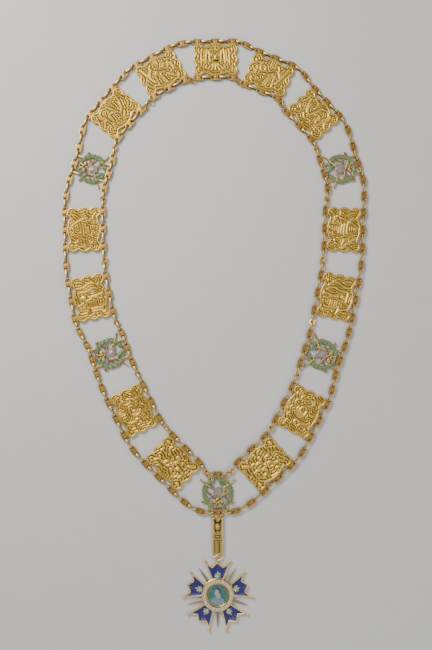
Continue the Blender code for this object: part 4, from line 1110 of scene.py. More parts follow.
def leafSkin(length, width, low, rise, finish, steps=8, bend=0.0):
    # A leaf along +X: half width = width/2 * sin(pi * t**0.8)**0.7, over it a raised gilt edge,
    # two sunk glass fields and a gilt midrib, under it a flat back; its tip bends sideways
    t = np.linspace(0.03, 0.985, steps)[:, None]
    half = width / 2 * np.sin(np.pi * t**0.8) ** 0.7
    across = np.array((-1, -0.84, -0.7, -0.36, -0.1, 0.0, 0.1, 0.36, 0.7, 0.84, 1, 0.8, -0.8))
    up = np.array((0.45, 0.82, 0.62, 0.86, 0.9, 1.06, 0.9, 0.86, 0.62, 0.82, 0.45, 0, 0))
    edge = (1, 1, 0, 0, 0.1, 0.9, 0.1, 0, 0, 1, 1, 1, 1)
    # dark is painted shade in the sunk fields along the raised edge and under the leaf
    dark = (0.5, 0, 0.9, 0.2, 0.5, 0, 0.5, 0.2, 0.9, 0, 0.5, 1, 1)
    swell = 0.55 + 0.45 * np.sin(np.pi * t) ** 0.6
    points = np.stack([t * length + 0 * across, half * across + bend * t**2, low + rise * up * swell], -1)
    return tube(points, finish, dark, edge)


def wrapped(item, radius, start, side):
    # Lays a strip round a circle: x becomes arc length from the start angle, y becomes distance out
    angle = np.radians(start) + side * item.points[:, 0] / radius
    reach = radius + item.points[:, 1]
    points = np.stack([reach * np.cos(angle), reach * np.sin(angle), item.points[:, 2]], -1)
    return skin(points, item.faces, item.finish, item.hollow, item.gilt)


def branchSkins():
    # Two branches from the bottom: a stem, and on each side of the top leaf after leaf outside,
    # inside and along it, at equal steps of the angle, and two more at the branch's end
    radius, low, high, opening = (wreathSet[key] for key in ("ringRadius", "low", "high", "opening"))
    length, width, spread = (wreathSet[key] for key in ("leafLength", "leafWidth", "leafSpread"))
    count = wreathSet["leavesPerBranch"]
    path = circlePath((0, 0), radius, 60, 90 + opening + 4, 450 - opening - 4)
    # The stem under the leaves is darkened with painted shade
    skins = [sweep(path, roundProfile(8, 1.35, low, low + 0.75), "leafGreen", hollow=0.9, gilt=0.5)]
    tall = high - low
    for side in (-1, 1):
        for k in range(count):
            start = -90 + side * (1 + (180 - opening - 16) * k / (count - 0.5))
            for out in (-1, 1):
                item = leafSkin(
                    length * 0.92, width, low + 0.2, tall - 0.35, "leafGreen", bend=out * spread * 0.7
                )
                item = moved(item, y=out * spread * 0.55)
                skins.append(wrapped(item, radius, start + side * (6 if out > 0 else 0), side))
            item = leafSkin(length * 0.8, width * 0.86, low + 0.55, tall - 0.5, "leafGreen")
            skins.append(wrapped(item, radius, start + side * 9, side))
        for start, out in ((2, 1.2), (16, 1.0)):
            item = leafSkin(length * 0.9, width * 0.8, low + 0.1, 1.2, "leafGreen", bend=1.0)
            skins.append(wrapped(moved(item, y=out), radius, 90 - side * (90 - start), side))
    return skins


birdSet = {
    "spine": ((-0.9, 12.6), (0.5, 12.7), (1.6, 11.2), (2.3, 9.6), (3.6, 7.9), (4.6, 6.3), (4.9, 4.6)),
    "halfWidths": (0.5, 1.6, 1.45, 1.6, 1.95, 1.5, 0.9),
    "tail": ((4.2, 6.6), (4.9, 4.4), (5.0, 2.2), (4.8, 0.2), (4.4, -1.8)),
    "tailHalfWidths": (0.9, 1.45, 1.4, 1.25, 0.7),
}


def feathered(spine, halfWidths, finish, low, high, rows, pitch):
    # A bird's part along a smooth spine: a round back whose height ripples once for each row of
    # feathers, with gilt between the rows and down both sides
    path = smoothPath(spine, rows, closed=False)
    wide = np.interp(np.linspace(0, len(halfWidths) - 1, rows), np.arange(len(halfWidths)), halfWidths)
    across = np.linspace(-1, 1, 13)
    feather = (np.arange(rows) * pitch)[:, None] + 0.8 * np.abs(across)
    wave = 0.5 + 0.5 * np.cos(2 * np.pi * feather)
    side = rightOf(headings(path))
    back = np.sqrt(np.clip(1 - 0.92 * across**2, 0, 1))
    taper = np.sqrt(np.clip(wide / max(halfWidths), 0.3, 1))[:, None]
    top = low + (high - low) * back * (0.86 + 0.14 * wave) * taper
    spots = path[:, None] + side[:, None] * (across[:, None] * wide[:, None, None])
    foot = np.dstack([spots[:, (-1, 0)], np.full((rows, 2), low)])
    edge = np.where(np.abs(across) > 0.8, 1.0, np.clip((0.2 - wave) * 6, 0, 0.9))
    below = np.ones((rows, 2))
    points = np.concatenate([np.dstack([spots, top]), foot], 1)
    # Painted shade in the troughs between the rows of feathers and under the part
    dark, edge = np.concatenate([0.6 * (1 - wave), below], 1), np.concatenate([edge, below], 1)
    return tube(points, finish, dark, edge)


def scrollRelief(x, y, share):
    # Rows of low dots in a wavy line and a soft roll across the sheet
    dots = np.cos(x * 5.6 + np.sin(y * 2.0)) * np.cos(y * 4.4 + np.sin(x * 1.6))
    lift = 0.12 * np.clip(dots - 0.25, 0, 1) + 0.22 * np.sin((x + 0.5 * y) * 0.9)
    return lift * (share < 0.92), np.clip(-dots - 0.45, 0, 1) * (share < 0.9)


scrollSet = {
    "sheet": (
        (-3.5, 4.9), (-2.4, 4.5), (-0.6, 5.4), (1.6, 5.0), (3.3, 4.7), (3.9, 3.2), (3.6, 1.4), (4.0, -0.4),
        (3.5, -2.2), (2.0, -2.7), (0.2, -3.2), (-1.6, -2.3), (-2.9, -1.9), (-3.0, -0.2), (-3.5, 1.4),
        (-3.0, 3.0),
    ),
    "rolls": (  # spots along it, half width
        (((-4.6, 5.9), (-3.0, 5.1), (-2.4, 2.6)), 0.95),
        (((-2.6, -2.2), (0.4, -3.1), (3.2, -2.4)), 0.5),
    ),
    "cords": (((-3.1, 3.4), (0.2, 4.3), (3.7, 3.2)), ((-2.9, -0.4), (0.4, -1.2), (3.4, -0.6))),
}


def weaponSkins():
    # Rifles and swords crossed the one over the other, and the four bars with collars to the chains
    low, rise = wreathSet["low"], wreathSet["rifleRise"]
    bar, collar = roundProfile(8, 0.78, 0.75, 2.25, 0.6), roundProfile(8, 1.0, 0.6, 2.5, 0.6)
    skins = []
    for side in (-1, 1):
        turn = 90 + side * (90 - wreathSet["rifleTurn"])
        skins.append(stationBar(rifleStock, "stockGrey", turn, rise, low + 0.1))
        skins.append(stationBar(rifleBarrel, "linkGold", turn, rise, low + 0.3))
        turn = 90 - side * (90 - wreathSet["swordTurn"])
        skins.append(stationBar(swordParts, "linkGold", turn, wreathSet["crossing"], low + 0.25))
        x = side * wreathSet["barAt"]
        for end, inner in wreathSet["bars"]:
            skins.append(sweep([(x, end), (x, inner)], bar, "linkGold"))
            skins.append(sweep([(x, end * 0.985), (x, end * 0.945)], collar, "linkGold"))
    return skins


def knotSkins(side):
    # One half of the knot: a loop, its tail, a flag behind it and a bow at the bottom
    loopSpots = ((0.9, -5.6), (2.6, -4.9), (4.6, -5.4), (4.9, -7.0), (3.4, -8.2), (1.4, -7.4))
    tailSpots = ((0.7, -6.9), (1.3, -8.8), (2.4, -10.6))
    finish = "redGold" if side < 0 else "tailGreen"
    loop = smoothPath(np.array(loopSpots) * (side, 1), 36)
    flag = leafSkin(5.0, 1.9, 0.8, 1.2, "stockGrey", bend=side * 0.8)
    bow = leafSkin(3.4, 1.7, 1.0, 1.35, "redGold", bend=-side * 0.4)
    return [
        domed(
            loop, (side * 3.1, -6.5), 0.9, 2.0, 0.5, finish,
            rings=6, rim=0.14, sink=0.1, relief=scrollRelief,
        ),
        curvedBar(
            np.array(tailSpots) * (side, 1), 10, roundProfile(8, 0.75, 0.9, 2.2), finish, hollow=0.2, gilt=0.4
        ),
        moved(flag, side * 3.6, -3.2, 90 - side * 62),
        moved(bow, side * 0.2, -11.0, 90 - side * 98),
    ]


def wreathSkins():
    # Everything in one wreath, its open end along +Y: branches, weapons, scroll, bird, knot and cords
    sheet, knotRing = smoothPath(scrollSet["sheet"], 80), circlePath((0, -6.0), 1.25, 24)
    skins = branchSkins() + weaponSkins()
    skins.append(domed(
        sheet, (0.4, 1.3), 1.0, 2.15, 0.45, "scrollLilac",
        rings=9, power=2.5, rim=0.1, sink=0.1, relief=scrollRelief,
    ))
    for spots, half in scrollSet["rolls"]:
        roll = roundProfile(10, half, 1.2, 2.75, 1.0)
        skins.append(curvedBar(spots, 14, roll, "scrollLilac", hollow=0.1, gilt=0.25))
    skins += [
        feathered(birdSet["tail"], birdSet["tailHalfWidths"], "tailGreen", 1.1, 2.75, rows=30, pitch=0.24),
        feathered(birdSet["spine"], birdSet["halfWidths"], "birdGreen", 0.8, 3.0, rows=44, pitch=0.2),
        moved(leafSkin(5.0, 1.9, 2.0, 0.95, "birdGreen", steps=9, bend=0.5), 1.9, 10.4, -52),
        moved(leafSkin(1.7, 0.9, 1.6, 0.9, "linkGold", steps=5), -0.6, 12.5, 165),
        button((0.2, 12.9), 0.34, 10, 2.4, 2.85, 0.2, "hairGlass", rings=2),
        sweep(knotRing, roundProfile(8, 0.5, 1.4, 2.85, 0.9), "linkGold", closed=True, hollow=0.15),
        button((0, wreathSet["crossing"]), 0.95, 14, 1.5, 2.5, 0.5, "linkGold", rings=4),
        *knotSkins(-1),
        *knotSkins(1),
        button((0, -11.1), 0.8, 14, 0.8, 2.35, 0.35, "scrollLilac", rings=4, rim=0.2, sink=0.05),
    ]
    thin = roundProfile(6, 0.14, 2.2, 2.75)
    return skins + [curvedBar(spots, 16, thin, "linkGold") for spots in scrollSet["cords"]]


wreath = wreathSkins()
for number, place in enumerate(places, 1):
    if place.design == "wreath":
        dressed(f"wreath_{number:02d}", wreath, "green_enamel", *middleOf(place), place.turn + 180)
print("wreaths bound:", sum(len(item.points) for item in wreath), "points each")


# Hanger

dropX = middleOf(places[9])[0]  # all three hang below plate 10, the lowest wreath
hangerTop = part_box("hanger")[1][1] / mm
hangerSet = {
    "half": 4.7,
    "length": 31.7,
    "neckRadius": 3.0,
    "shoulder": -3.5,
    "low": 0.5,
    "face": 2.75,
    "edgeTop": 3.0,
    "edgeWidth": 1.25,
    "hookSpread": 3.9,
    "hookRadius": 1.25,
    "hookWire": 0.42,
    "eyeOut": 0.85,  # from an end out to the middle of the eye on it
    "cheek": ((4.1, -3.6), (4.6, -2.9), (4.2, -2.4), (3.2, -2.9)),  # a shoulder's swelling
    "rows": 300,
    "columns": 96,
    "shield": (-0.1, -9.6, 1.9, 2.9),  # veined part of the face: middle and half sizes
    "veins": (7.5, 6.2),  # how close the veins lie across and along it
}

# Raised and sunk forms on the hanger's face: kind, middle, half width, half height, rise, and darkness,
# painted shade that the sunk forms add and the raised ones take away
hangerMarks = (
    ("box", 0, -8.9, 2.6, 5.0, -1.1, 0.75), ("disc", 0, -3.9, 2.6, 2.6, -1.1, 0.75),
    ("disc", -0.05, -3.6, 2.05, 2.2, 0.95, -0.95), ("box", -0.3, -6.8, 1.35, 0.42, 1.35, -0.9),
    ("disc", -0.1, -9.6, 2.0, 2.9, 0.85, -0.6), ("box", 0.1, -13.4, 1.35, 0.36, 1.25, -0.8),
    ("disc", -3.1, -13.4, 0.55, 0.55, 0.35, -0.2), ("disc", 3.2, -13.3, 0.6, 0.55, 0.35, -0.2),
    ("box", 0, -14.7, 3.0, 0.25, -0.25, 0.45),
    ("box", -0.05, -17.4, 2.5, 1.45, -0.5, 0.85), ("box", -0.05, -17.4, 1.75, 0.8, 0.5, -0.75),
    ("disc", -1.05, -17.4, 0.34, 0.42, 0.22, 0), ("disc", 0, -17.4, 0.34, 0.42, 0.22, 0),
    ("disc", 1.05, -17.4, 0.34, 0.42, 0.3, 0),
    ("box", 0, -20.4, 3.2, 0.3, -0.55, 0.9),
    ("box", -2.65, -25.9, 0.22, 4.9, -0.6, 0.85), ("dots", -1.65, -25.9, 0.3, 4.9, -0.7, 0.95),
    ("box", 0.3, -25.9, 0.25, 4.9, -0.8, 0.95), ("box", 1.35, -25.9, 0.3, 4.9, -0.8, 0.9),
    ("box", 2.3, -25.9, 0.16, 4.9, -0.4, 0.6), ("box", -0.7, -25.9, 0.6, 4.7, 0.3, -0.1),
)


def markShape(kind, u, v, halfWidth, halfHeight, y, rise):
    # How much of a mark there is, 0 to 1, at u and v half sizes from its middle: a disc with a soft
    # edge, half dome where it is raised, or a box with walls 0.14 mm wide, cut into beads for dots
    if kind == "disc":
        away = np.hypot(u, v)
        soft = np.clip(1.25 - away, 0, 0.3) / 0.3
        if rise > 0.3:
            soft = np.sqrt(np.clip(1 - away**2, 0, 1)) * 0.5 + 0.5 * soft * (away < 1.0)
        return soft
    wall = 0.14
    soft = np.clip((1 - u) * halfWidth / wall, 0, 1) * np.clip((1 - v) * halfHeight / wall, 0, 1)
    if kind == "dots":
        soft = soft * (0.25 + 0.75 * (np.cos(y * 2 * np.pi / 1.3) > -0.2))
    return soft


def hangerSkin():
    # Face height = flat face + a raised strip along the sides + each mark with soft edges;
    # the width follows the arched neck and the shoulders; painted shade in sunk forms, veins and grooves, and
    # a painted highlight on the raised strips and small raised bars
    rows, columns = hangerSet["rows"], hangerSet["columns"]
    length, neck, half = hangerSet["length"], hangerSet["neckRadius"], hangerSet["half"]
    shoulder, face, edgeWidth = hangerSet["shoulder"], hangerSet["face"], hangerSet["edgeWidth"]
    y = np.linspace(-length, -0.02, rows)[:, None] * np.ones((1, columns))
    arch = np.sqrt(np.clip(neck**2 - np.clip(y + neck, 0, None) ** 2, 0.12, None))
    wide = arch + (half - neck) * (1 - softStep(y, shoulder - 0.15, shoulder + 0.25))
    x = np.linspace(-1, 1, columns)[None] * wide
    sideGap = wide - np.abs(x)
    edge = softStep(sideGap, 0.02, 0.35) * (1 - softStep(sideGap, edgeWidth - 0.25, edgeWidth))
    # dark is painted shade; the strips along the sides and the small raised marks get a painted highlight
    top, dark, paintedHighlight = np.full(x.shape, face), np.zeros(x.shape), 0.75 * edge * (y < -2)
    for kind, atX, atY, halfWidth, halfHeight, rise, darkness in hangerMarks:
        u, v = np.abs(x - atX) / halfWidth, np.abs(y - atY) / halfHeight
        soft = markShape(kind, u, v, halfWidth, halfHeight, y, rise)
        top = top + rise * soft
        dark = np.clip(dark + darkness * soft, 0, 1)
        if rise > 0.25 and halfHeight < 0.8:
            paintedHighlight = np.maximum(paintedHighlight, np.maximum(u, v) < 1)
    middleX, middleY, wideShield, highShield = hangerSet["shield"]
    shield = np.hypot((x - middleX) / wideShield, (y - middleY) / highShield) < 0.9
    veins = np.cos(x * hangerSet["veins"][0]) * np.cos(y * hangerSet["veins"][1])
    line = np.exp(-((sideGap - edgeWidth - 0.1) / 0.13) ** 2) * (y < -3)
    top += 0.1 * veins * shield + (hangerSet["edgeTop"] - face) * edge * (y < -2) - 0.2 * line
    top -= 0.35 * (1 - softStep(sideGap, 0, 0.3)) + 0.3 * (1 - softStep(y + length, 0, 0.3))
    # Painted shade between the veins and in the groove inside each raised strip
    dark = np.clip(dark + 0.3 * (veins < -0.3) * shield, 0, 1)
    dark = np.clip(dark + 0.55 * line, 0, 1)
    return plate(x, y, top, hangerSet["low"], "hangerGold", dark, paintedHighlight)


def loopSkin(centre, radius, wire, finish, standing=False, count=20):
    # A round wire ring: lying flat, or standing on edge across X when asked
    angle = np.arange(8) * np.pi / 4
    profile = np.stack([-np.cos(angle) * wire, np.sin(angle) * wire], -1)
    ring = sweep(circlePath((0, 0), radius, count), profile, finish, closed=True, hollow=0.1)
    points = ring.points[:, (2, 0, 1)] if standing else ring.points
    return skin(points + centre, ring.faces, finish, ring.hollow, ring.gilt)


def eyeAt(y):
    # A small standing ring that the lozenge passes through, at the chain's height
    return loopSkin((0, y, chainSet["height"]), 1.1, 0.35, "rimGold", standing=True, count=18)


hangerSkins = [hangerSkin(), eyeAt(-hangerSet["length"] - hangerSet["eyeOut"])]
spread, radius, wire = (hangerSet[key] for key in ("hookSpread", "hookRadius", "hookWire"))
for side in (-1, 1):
    hookAt = (side * spread, -radius - wire, chainSet["height"])
    hangerSkins.append(loopSkin(hookAt, radius, wire * 1.1, "hangerGold"))
    cheek = smoothPath(np.array(hangerSet["cheek"]) * (side, 1), 20)
    hangerSkins.append(domed(cheek, (side * 4.0, -3.0), 0.9, 2.5, 0.3, "hangerGold", rings=4))
archPath = circlePath((0, -3.3), 2.55, 20, 0, 180)
hangerSkins.append(sweep(archPath, roundProfile(8, 0.3, 2.2, 3.15), "hangerGold"))
dressed("hanger", hangerSkins, "gilt_metal", dropX, hangerTop, sharp=50)

lozengeSet = {
    "corners": ((0, 0), (-4.2, -2.2), (0, -4.4), (4.2, -2.2)),  # of the wire's middle line
    "halfWire": 0.58,
    "low": 1.42,
    "high": 2.38,
    "topIn": 0.45,  # from the node's top edge in to the middle line
}
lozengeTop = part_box("lozenge_ring")[1][1] / mm - lozengeSet["topIn"]
corners = np.array(lozengeSet["corners"])
sides = np.linspace(0.06, 0.94, 8)[:, None]  # shares of a side, which leave its corners rounded
lozenge = np.concatenate([a + (b - a) * sides for a, b in zip(corners, np.roll(corners, -1, 0))])
lozengeWire = roundProfile(10, *(lozengeSet[key] for key in ("halfWire", "low", "high")), 0.85)
lozengeSkin = sweep(lozenge, lozengeWire, "rimGold", closed=True, hollow=0.05)
dressed("lozenge_ring", [lozengeSkin], "gilt_metal", dropX, lozengeTop)
print("hanger chased")


# Star

starX, starY = middleOfNode("medallion_ring")
starSet = {
    "arms": 5,
    "outline": (
        (-4.2, 11.0), (4.2, 11.0), (10.4, 26.3), (4.5, 22.5), (0, 26.6), (-4.5, 22.5), (-10.4, 26.3),
    ),
    "rim": 0.95,
    "low": 0.4,
    "rimTop": 2.4,
    "cellFloor": 1.35,
    "enamelTop": 2.05,
    "enamelRise": 0.25,
    "petals": (  # turn, length, width
        (0, 5.2, 2.1), (34, 4.2, 1.8), (-34, 4.2, 1.8), (68, 3.0, 1.5), (-68, 3.0, 1.5),
    ),
    "ballRadius": 1.05,
    "ballOut": 0.75,  # from a tip out to its ball's middle
    "floorRadius": 12.4,  # of the plate under the medallion
    "seat": ((12.2, 0.5), (13.2, 0.6), (13.25, 1.9), (12.95, 2.1), (12.85, 1.6), (12.2, 1.5)),  # round it
    "rayFoot": 11.0,
    "rayTip": 26.2,
    "rayHalf": 1.6,
    "middle": 1.4,  # height of the balls' and rays' middles
    "ringInner": 9.6,
    "ringOuter": 12.8,
    "discRadius": 9.3,
    "ringTop": 3.45,
    "discTop": 2.9,
    "glassFoot": 1.9,  # underside of the ring and the disc
}


def inset(outline, distance):
    # The outline with every side moved inwards by the distance and the corners mitred
    outline = np.asarray(outline, dtype=float)
    inA = -rightOf(unit(outline - np.roll(outline, 1, 0)))
    inB = np.roll(inA, -1, 0)
    return outline + distance * (inA + inB) / (1 + (inA * inB).sum(-1))[:, None]


def rimSkin(outline, rows, finish):
    # Closed loops of the outline, each inset so far at such a height, joined into a frame
    loops = np.stack([atHeight(inset(outline, d), z) for d, z in rows])
    # Painted shade at the foot of the frame's inner wall
    dark = np.array([[1.0 if z < 1.5 and d > 0.5 else 0.0] for d, z in rows])
    return tube(loops, finish, dark, closed=True)


def densified(outline, pitch):
    # The same outline with points every so many mm along its sides
    parts = []
    for a, b in zip(outline, np.roll(outline, -1, 0)):
        count = max(2, int(np.linalg.norm(b - a) / pitch))
        parts.append(a + (b - a) * np.linspace(0, 1, count, endpoint=False)[:, None])
    return np.concatenate(parts)


def palmette():
    # Turquoise palmette on an arm, pointing outwards: three tall petals, two low ones and a heart;
    # the glass gives way to gold towards each petal's tip
    base = starSet["enamelTop"] + 0.05
    skins = []
    for turn, length, width in starSet["petals"]:
        petal = leafSkin(length, width, base - 0.2, 0.75, "turquoise", steps=9)
        tips = np.clip(petal.points[:, 0] / length * 2.2 - 1.0, 0, 0.7)
        skins.append(moved(petal._replace(gilt=np.maximum(petal.gilt, tips)), 0, 14.4, 90 + turn))
    heart = button(
        (0, 14.9), 1.5, 24, base - 0.2, base + 0.45, 0.3, "turquoise", rings=5, rim=0.2, sink=0.08
    )
    skins.append(heart)
    return skins


def armSkins():
    # One arm pointing along +Y: a frame whose section is given by how far in and how high, a floor
    # plate under the glass, and a ball on a short neck past each of its two tips
    outline = starSet["outline"]
    rim, low, top, floor = (starSet[key] for key in ("rim", "low", "rimTop", "cellFloor"))
    rows = (
        (0.05, low), (0, top - 0.35), (0.14, top - 0.1), (0.42, top), (rim - 0.25, top - 0.06),
        (rim - 0.05, top - 0.3), (rim, floor - 0.2), (rim, low),
    )
    skins = [
        rimSkin(outline, rows, "rimGold"),
        domed(inset(outline, rim - 0.1), (0, 18.2), low + 0.1, floor - 0.15, 0.05, "rimGold", rings=2),
    ]
    cornerX, cornerY = outline[2]
    for side in (-1, 1):
        at = np.array((side * cornerX, cornerY)) * (1 + starSet["ballOut"] / np.hypot(cornerX, cornerY))
        skins.append(ballSkin(at, starSet["ballRadius"]))
        neck = at * (1 - starSet["ballRadius"] / np.hypot(*at))
        skins.append(sweep([neck, at * 0.99], roundProfile(8, 0.55, 0.85, 1.95, 1.0), "rimGold"))
    return skins


def ballSkin(at, radius):
    # A sphere as rings between its two poles
    middle, around, rings = starSet["middle"], 16, 9
    tilt = np.radians(np.linspace(-90, 90, rings + 2)[1:-1])[:, None]
    turn = np.arange(around) * 2 * np.pi / around
    points = np.stack([
        at[0] + radius * np.cos(tilt) * np.cos(turn),
        at[1] + radius * np.cos(tilt) * np.sin(turn),
        middle + radius * np.sin(tilt) + 0 * turn,
    ], -1).reshape(-1, 3)
    points = np.concatenate([points, [[*at, middle - radius], [*at, middle + radius]]])
    ring, pole = np.arange(around), rings * around
    after, last = np.roll(ring, -1), (rings - 1) * around
    faces = [
        gridFaces(rings, around, closeColumns=True),
        np.stack([after, ring, np.full(around, pole)], -1),
        np.stack([last + ring, last + after, np.full(around, pole + 1)], -1),
    ]
    return skin(points, faces, "rimGold")


def raySkin():
    # A tapered ray with a sharp ridge between two flutes on each flank
    foot, tip, widest = starSet["rayFoot"], starSet["rayTip"], starSet["rayHalf"]
    along = np.linspace(foot, tip, 12)[:, None]
    half = widest * (1 - (along - foot) / (tip - foot) * 0.86)
    across = np.array((-1, -0.86, -0.6, -0.42, -0.2, 0, 0.2, 0.42, 0.6, 0.86, 1, 0))
    up = np.array((0.1, 0.34, 0.3, 0.62, 0.58, 1, 0.58, 0.62, 0.3, 0.34, 0.1, -0.9))
    # dark is painted shade in the flutes and under the ray
    dark = (0.3, 0, 0.9, 0.1, 0.8, 0, 0.8, 0.1, 0.9, 0, 0.3, 1)
    height = 0.75 * (half / widest) ** 0.5
    points = np.stack([half * across, along + 0 * across, starSet["middle"] + height * up], -1)
    return tube(points, "rayGold", dark)


def lathe(rows, finish, hollow=0.0, gilt=0.0, count=72):
    # A closed profile of (radius, height) turned about Z
    radius, height = np.array(rows, dtype=float).T[..., None]
    turn = np.arange(count) * 2 * np.pi / count
    points = np.stack([radius * np.cos(turn), radius * np.sin(turn), height + 0 * turn], -1)
    return tube(points, finish, np.reshape(hollow, (-1, 1)), np.reshape(gilt, (-1, 1)), closed=True)


armPitch = 360 / starSet["arms"]
arm, ray = armSkins(), raySkin()
starSkins = []
for k in range(starSet["arms"]):
    starSkins += [moved(item, turn=k * armPitch) for item in arm] + [moved(ray, turn=(k + 0.5) * armPitch)]
highest = max(y for _, y in starSet["outline"])
starSkins += [
    button((0, 0), starSet["floorRadius"], 72, 0.05, 1.55, 0.02, "rimGold", rings=3),
    lathe(starSet["seat"], "rimGold"),
    eyeAt(highest + hangerSet["eyeOut"]),
]
dressed("star", starSkins, "gilt_metal", starX, starY, sharp=40)

# The glass fills an arm's cell as far in as the ring's edge, where its two lowest corners are cut
ringEdge = starSet["ringOuter"] + 0.5
field = inset(starSet["outline"], starSet["rim"] + 0.02)
slope = (field[2, 0] - field[1, 0]) / (field[2, 1] - field[1, 1])
field[1] = (field[1, 0] + slope * (ringEdge - field[1, 1]), ringEdge)
field[0] = field[1] * (-1, 1)
field = densified(field, 0.5)


def fieldRelief(x, y, share):
    # Engine-turned rays under the glass: faint ripples that fan out from the star's middle
    fan = np.cos(np.degrees(np.arctan2(x, y)) * 1.3)
    return 0.03 * fan * (share < 0.97), 0.28 * np.clip(-fan, 0, 1) * (share < 0.97)


fieldSkin = domed(
    field, (0, 18.6), starSet["cellFloor"] + 0.05, starSet["enamelTop"] - 0.1, starSet["enamelRise"],
    "cobalt", rings=10, power=3.0, relief=fieldRelief,
)
cellSkins = [fieldSkin, *palmette()]
for k in range(starSet["arms"]):
    dressed(f"arm_enamel_{k + 1}", cellSkins, "blue_enamel", starX, starY, -k * armPitch)
print("star pierced and filled")


# Medallion and its ring

ringInner, ringOuter, ringTop = starSet["ringInner"], starSet["ringOuter"], starSet["ringTop"]
ringMid, glassFoot = (ringInner + ringOuter) / 2, starSet["glassFoot"]
# The hollow column is painted shade in the sunk lines beside the fillets and down the walls
ringRows = (  # radius, height, hollow, gilt
    (ringInner, glassFoot, 0.6, 1), (ringInner, ringTop - 0.1, 0.1, 1),
    (ringInner + 0.08, ringTop, 0, 1), (ringInner + 0.22, ringTop, 0, 1),
    (ringInner + 0.3, ringTop - 0.15, 0.3, 1),
    (ringInner + 0.36, ringTop - 0.2, 0.5, 0), (ringMid, ringTop - 0.08, 0, 0),
    (ringOuter - 0.32, ringTop - 0.2, 0.5, 0), (ringOuter - 0.26, ringTop - 0.15, 0.3, 1),
    (ringOuter - 0.2, ringTop, 0, 1), (ringOuter - 0.08, ringTop, 0, 1), (ringOuter, ringTop - 0.12, 0.1, 1),
    (ringOuter, glassFoot, 0.6, 1),
)
ringRows, ringMarks = np.split(np.array(ringRows), 2, axis=1)
ringSkins = [lathe(ringRows, "creamGlass", *ringMarks.T, count=120)]
# Plain border ornament: a lozenge and a pellet in turn, one every ten degrees
markLow, markHigh = ringTop - 0.3, ringTop - 0.02
lozengeSpots = (
    (-0.55, 0), (-0.2, 0.42), (0, 0.62), (0.2, 0.42), (0.55, 0), (0.2, -0.42), (0, -0.62), (-0.2, -0.42),
)
pellet = button((0, ringMid), 0.34, 10, markLow, markHigh, 0.1, "markBrown", rings=3)
diamond = domed(
    np.array(lozengeSpots) + (0, ringMid), (0, ringMid), markLow, markHigh, 0.08, "markBrown", rings=3
)
ringSkins += [moved((pellet, diamond)[k % 2], turn=k * 10) for k in range(36)]
dressed("medallion_ring", ringSkins, "cream_enamel", starX, starY)


def rippled(x, y, share):
    # Fine engraved circles under the glass
    wave = np.cos(np.hypot(x, y) * 9)
    return 0.015 * wave, 0.2 * np.clip(-wave, 0, 1)


def headRelief(x, y, share):
    # Broad soft swells for brow, cheek and jaw, a shallow eye socket and a nostril's wing
    lift = (
        0.2 * hill(x, y, -0.6, 2.2, 1.1, 1.2) + 0.07 * hill(x, y, -1.5, 3.55, 0.6, 0.22)
        - 0.12 * hill(x, y, -1.5, 3.0, 0.45, 0.3) + 0.08 * hill(x, y, -2.2, 2.15, 0.2, 0.18)
    )
    shade = 0.5 * hill(x, y, -1.5, 3.0, 0.5, 0.3)
    return lift, shade + 0.4 * softStep(x - 0.25 * y, -1.1, 0.6)


def hairRelief(x, y, share):
    # Combed waves that run round the back of the head
    wave = np.cos(np.arctan2(y - 3.0, x - 1.0) * 11 + np.hypot(x - 1.0, y - 3.0) * 3)
    return 0.07 * wave * (share < 0.95), 0.4 * np.clip(-wave, 0, 1)


def foldRelief(x, y, share):
    # Draped folds that hang in bows below the neck
    wave = np.cos(np.hypot((x - 0.5) * 0.75, (y + 0.6) * 1.25) * 5.2 + 0.7 * np.sin(x * 1.4))
    return 0.16 * wave * (share < 0.95), 0.6 * np.clip(-wave, 0, 1)


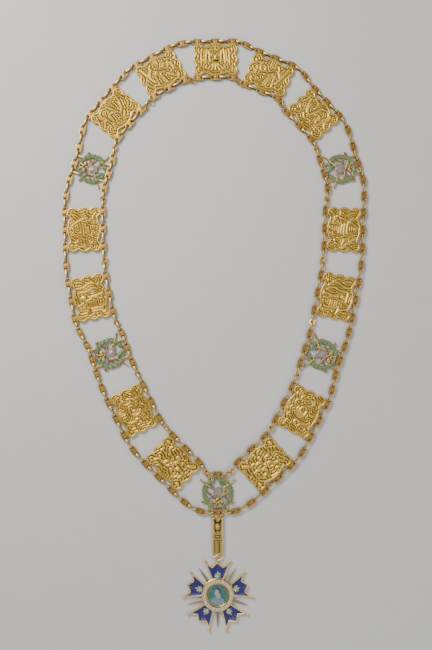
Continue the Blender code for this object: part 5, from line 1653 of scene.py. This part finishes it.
bustSet = {
    # Cushions, from the lowest up: spots on the outline, points along it, middle, how far its foot and
    # its edge stand over the disc, and what else domed takes
    "cushions": (
        (
            ((-6.4, -5.0), (-5.2, -3.0), (-3.0, -1.5), (-1.0, -0.9), (1.2, -1.0), (3.4, -2.0), (5.4, -3.6),
             (6.2, -5.3), (3.4, -7.0), (0, -7.7), (-3.6, -7.0)),
            72, (0, -4.2), -0.2, 0.05, {
                "rise": 0.5, "finish": "clothGlass", "rings": 9, "power": 2.5, "rim": 0.05, "sink": 0.05,
                "relief": foldRelief,
            },
        ),
        (
            ((-1.2, -2.2), (-1.0, -0.8), (-1.0, 0.5), (1.9, 2.0), (2.0, 0.2), (2.5, -2.2), (0.6, -3.0)),
            44, (0.5, -0.6), -0.1, 0.22, {"rise": 0.3, "finish": "skinGlass", "rings": 8},
        ),
        (
            ((-1.9, 4.9), (-2.22, 4.2), (-2.28, 3.6), (-2.1, 3.15), (-2.4, 2.6), (-2.76, 2.16), (-2.46, 1.9),
             (-2.52, 1.6), (-2.42, 1.4), (-2.48, 1.2), (-2.26, 0.9), (-2.36, 0.45), (-2.0, 0.1),
             (-1.0, 0.25), (0.1, 0.75), (0.8, 1.3), (1.35, 2.3), (1.6, 3.6), (1.2, 4.8), (-0.2, 5.4)),
            120, (-0.5, 2.7), -0.1, 0.25,
            {"rise": 0.36, "finish": "skinGlass", "rings": 26, "power": 7.0, "relief": headRelief},
        ),
        (
            ((-1.98, 4.55), (-1.75, 5.3), (-0.9, 5.95), (0.5, 6.25), (1.9, 5.7), (2.8, 4.5), (2.95, 3.0),
             (2.4, 1.6), (1.55, 1.25), (1.4, 2.2), (1.35, 3.3), (0.55, 3.75), (0.1, 3.3), (-0.2, 3.9),
             (-1.1, 4.35)),
            96, (1.5, 4.5), -0.1, 0.38,
            {"rise": 0.34, "finish": "hairGlass", "rings": 12, "relief": hairRelief},
        ),
    ),
    "eye": (-1.66, 2.98),
    "lines": (  # brow, lid, mouth, ear and neckline: spots, half width, top over the disc, finish
        (((-2.02, 3.46), (-1.6, 3.62), (-1.05, 3.48)), 0.07, 0.76, "hairGlass"),
        (((-1.96, 2.98), (-1.66, 3.12), (-1.3, 2.98)), 0.05, 0.8, "stockGrey"),
        (((-2.4, 1.39), (-2.2, 1.41), (-1.98, 1.37)), 0.035, 0.68, "stockGrey"),
        (((1.0, 2.2), (0.6, 2.5), (0.7, 3.2), (1.1, 3.3), (1.25, 2.8)), 0.12, 0.9, "skinGlass"),
        (((-1.5, -1.9), (0.4, -2.75), (2.8, -1.85)), 0.3, 0.9, "clothGlass"),
    ),
    "sprigRadius": 7.4,
}
discTop, discRadius = starSet["discTop"], starSet["discRadius"]
disc = button(
    (0, 0), discRadius, 96, glassFoot, discTop - 0.1, 0.12, "tealGlass",
    rings=14, power=4.0, rim=0.05, sink=0.05, relief=rippled,
)
medallionSkins = [disc]
for spots, count, centre, foot, edge, more in bustSet["cushions"]:
    medallionSkins.append(domed(smoothPath(spots, count), centre, discTop + foot, discTop + edge, **more))
eyeball = circlePath((0, 0), 1, 14) * (0.27, 0.1) + bustSet["eye"]
medallionSkins += [
    domed(eyeball, bustSet["eye"], discTop + 0.3, discTop + 0.66, 0.08, "creamGlass", rings=3),
    button((-1.76, 2.98), 0.1, 12, discTop + 0.4, discTop + 0.74, 0.03, "hairGlass", rings=2),
]
for spots, half, high, finish in bustSet["lines"]:
    line = roundProfile(8, half, discTop + 0.3, discTop + high)
    medallionSkins.append(curvedBar(spots, 16, line, finish))
sprigRadius = bustSet["sprigRadius"]
for side in (-1, 1):
    stem = circlePath((0, 0), sprigRadius, 24, 90 + side * 40, 90 + side * 140)
    medallionSkins.append(sweep(stem, roundProfile(6, 0.16, discTop - 0.1, discTop + 0.25), "sprigGreen"))
    for k in range(9):
        for out in (-1, 1):
            item = leafSkin(2.0, 0.85, discTop - 0.05, 0.45, "sprigGreen", steps=6, bend=out * 0.45)
            leafAt = 90 + side * (138 - k * 11)
            medallionSkins.append(wrapped(moved(item, y=out * 0.18), sprigRadius, leafAt, -side))
dressed("medallion", medallionSkins, "teal_enamel", starX, starY)
print("medallion set")
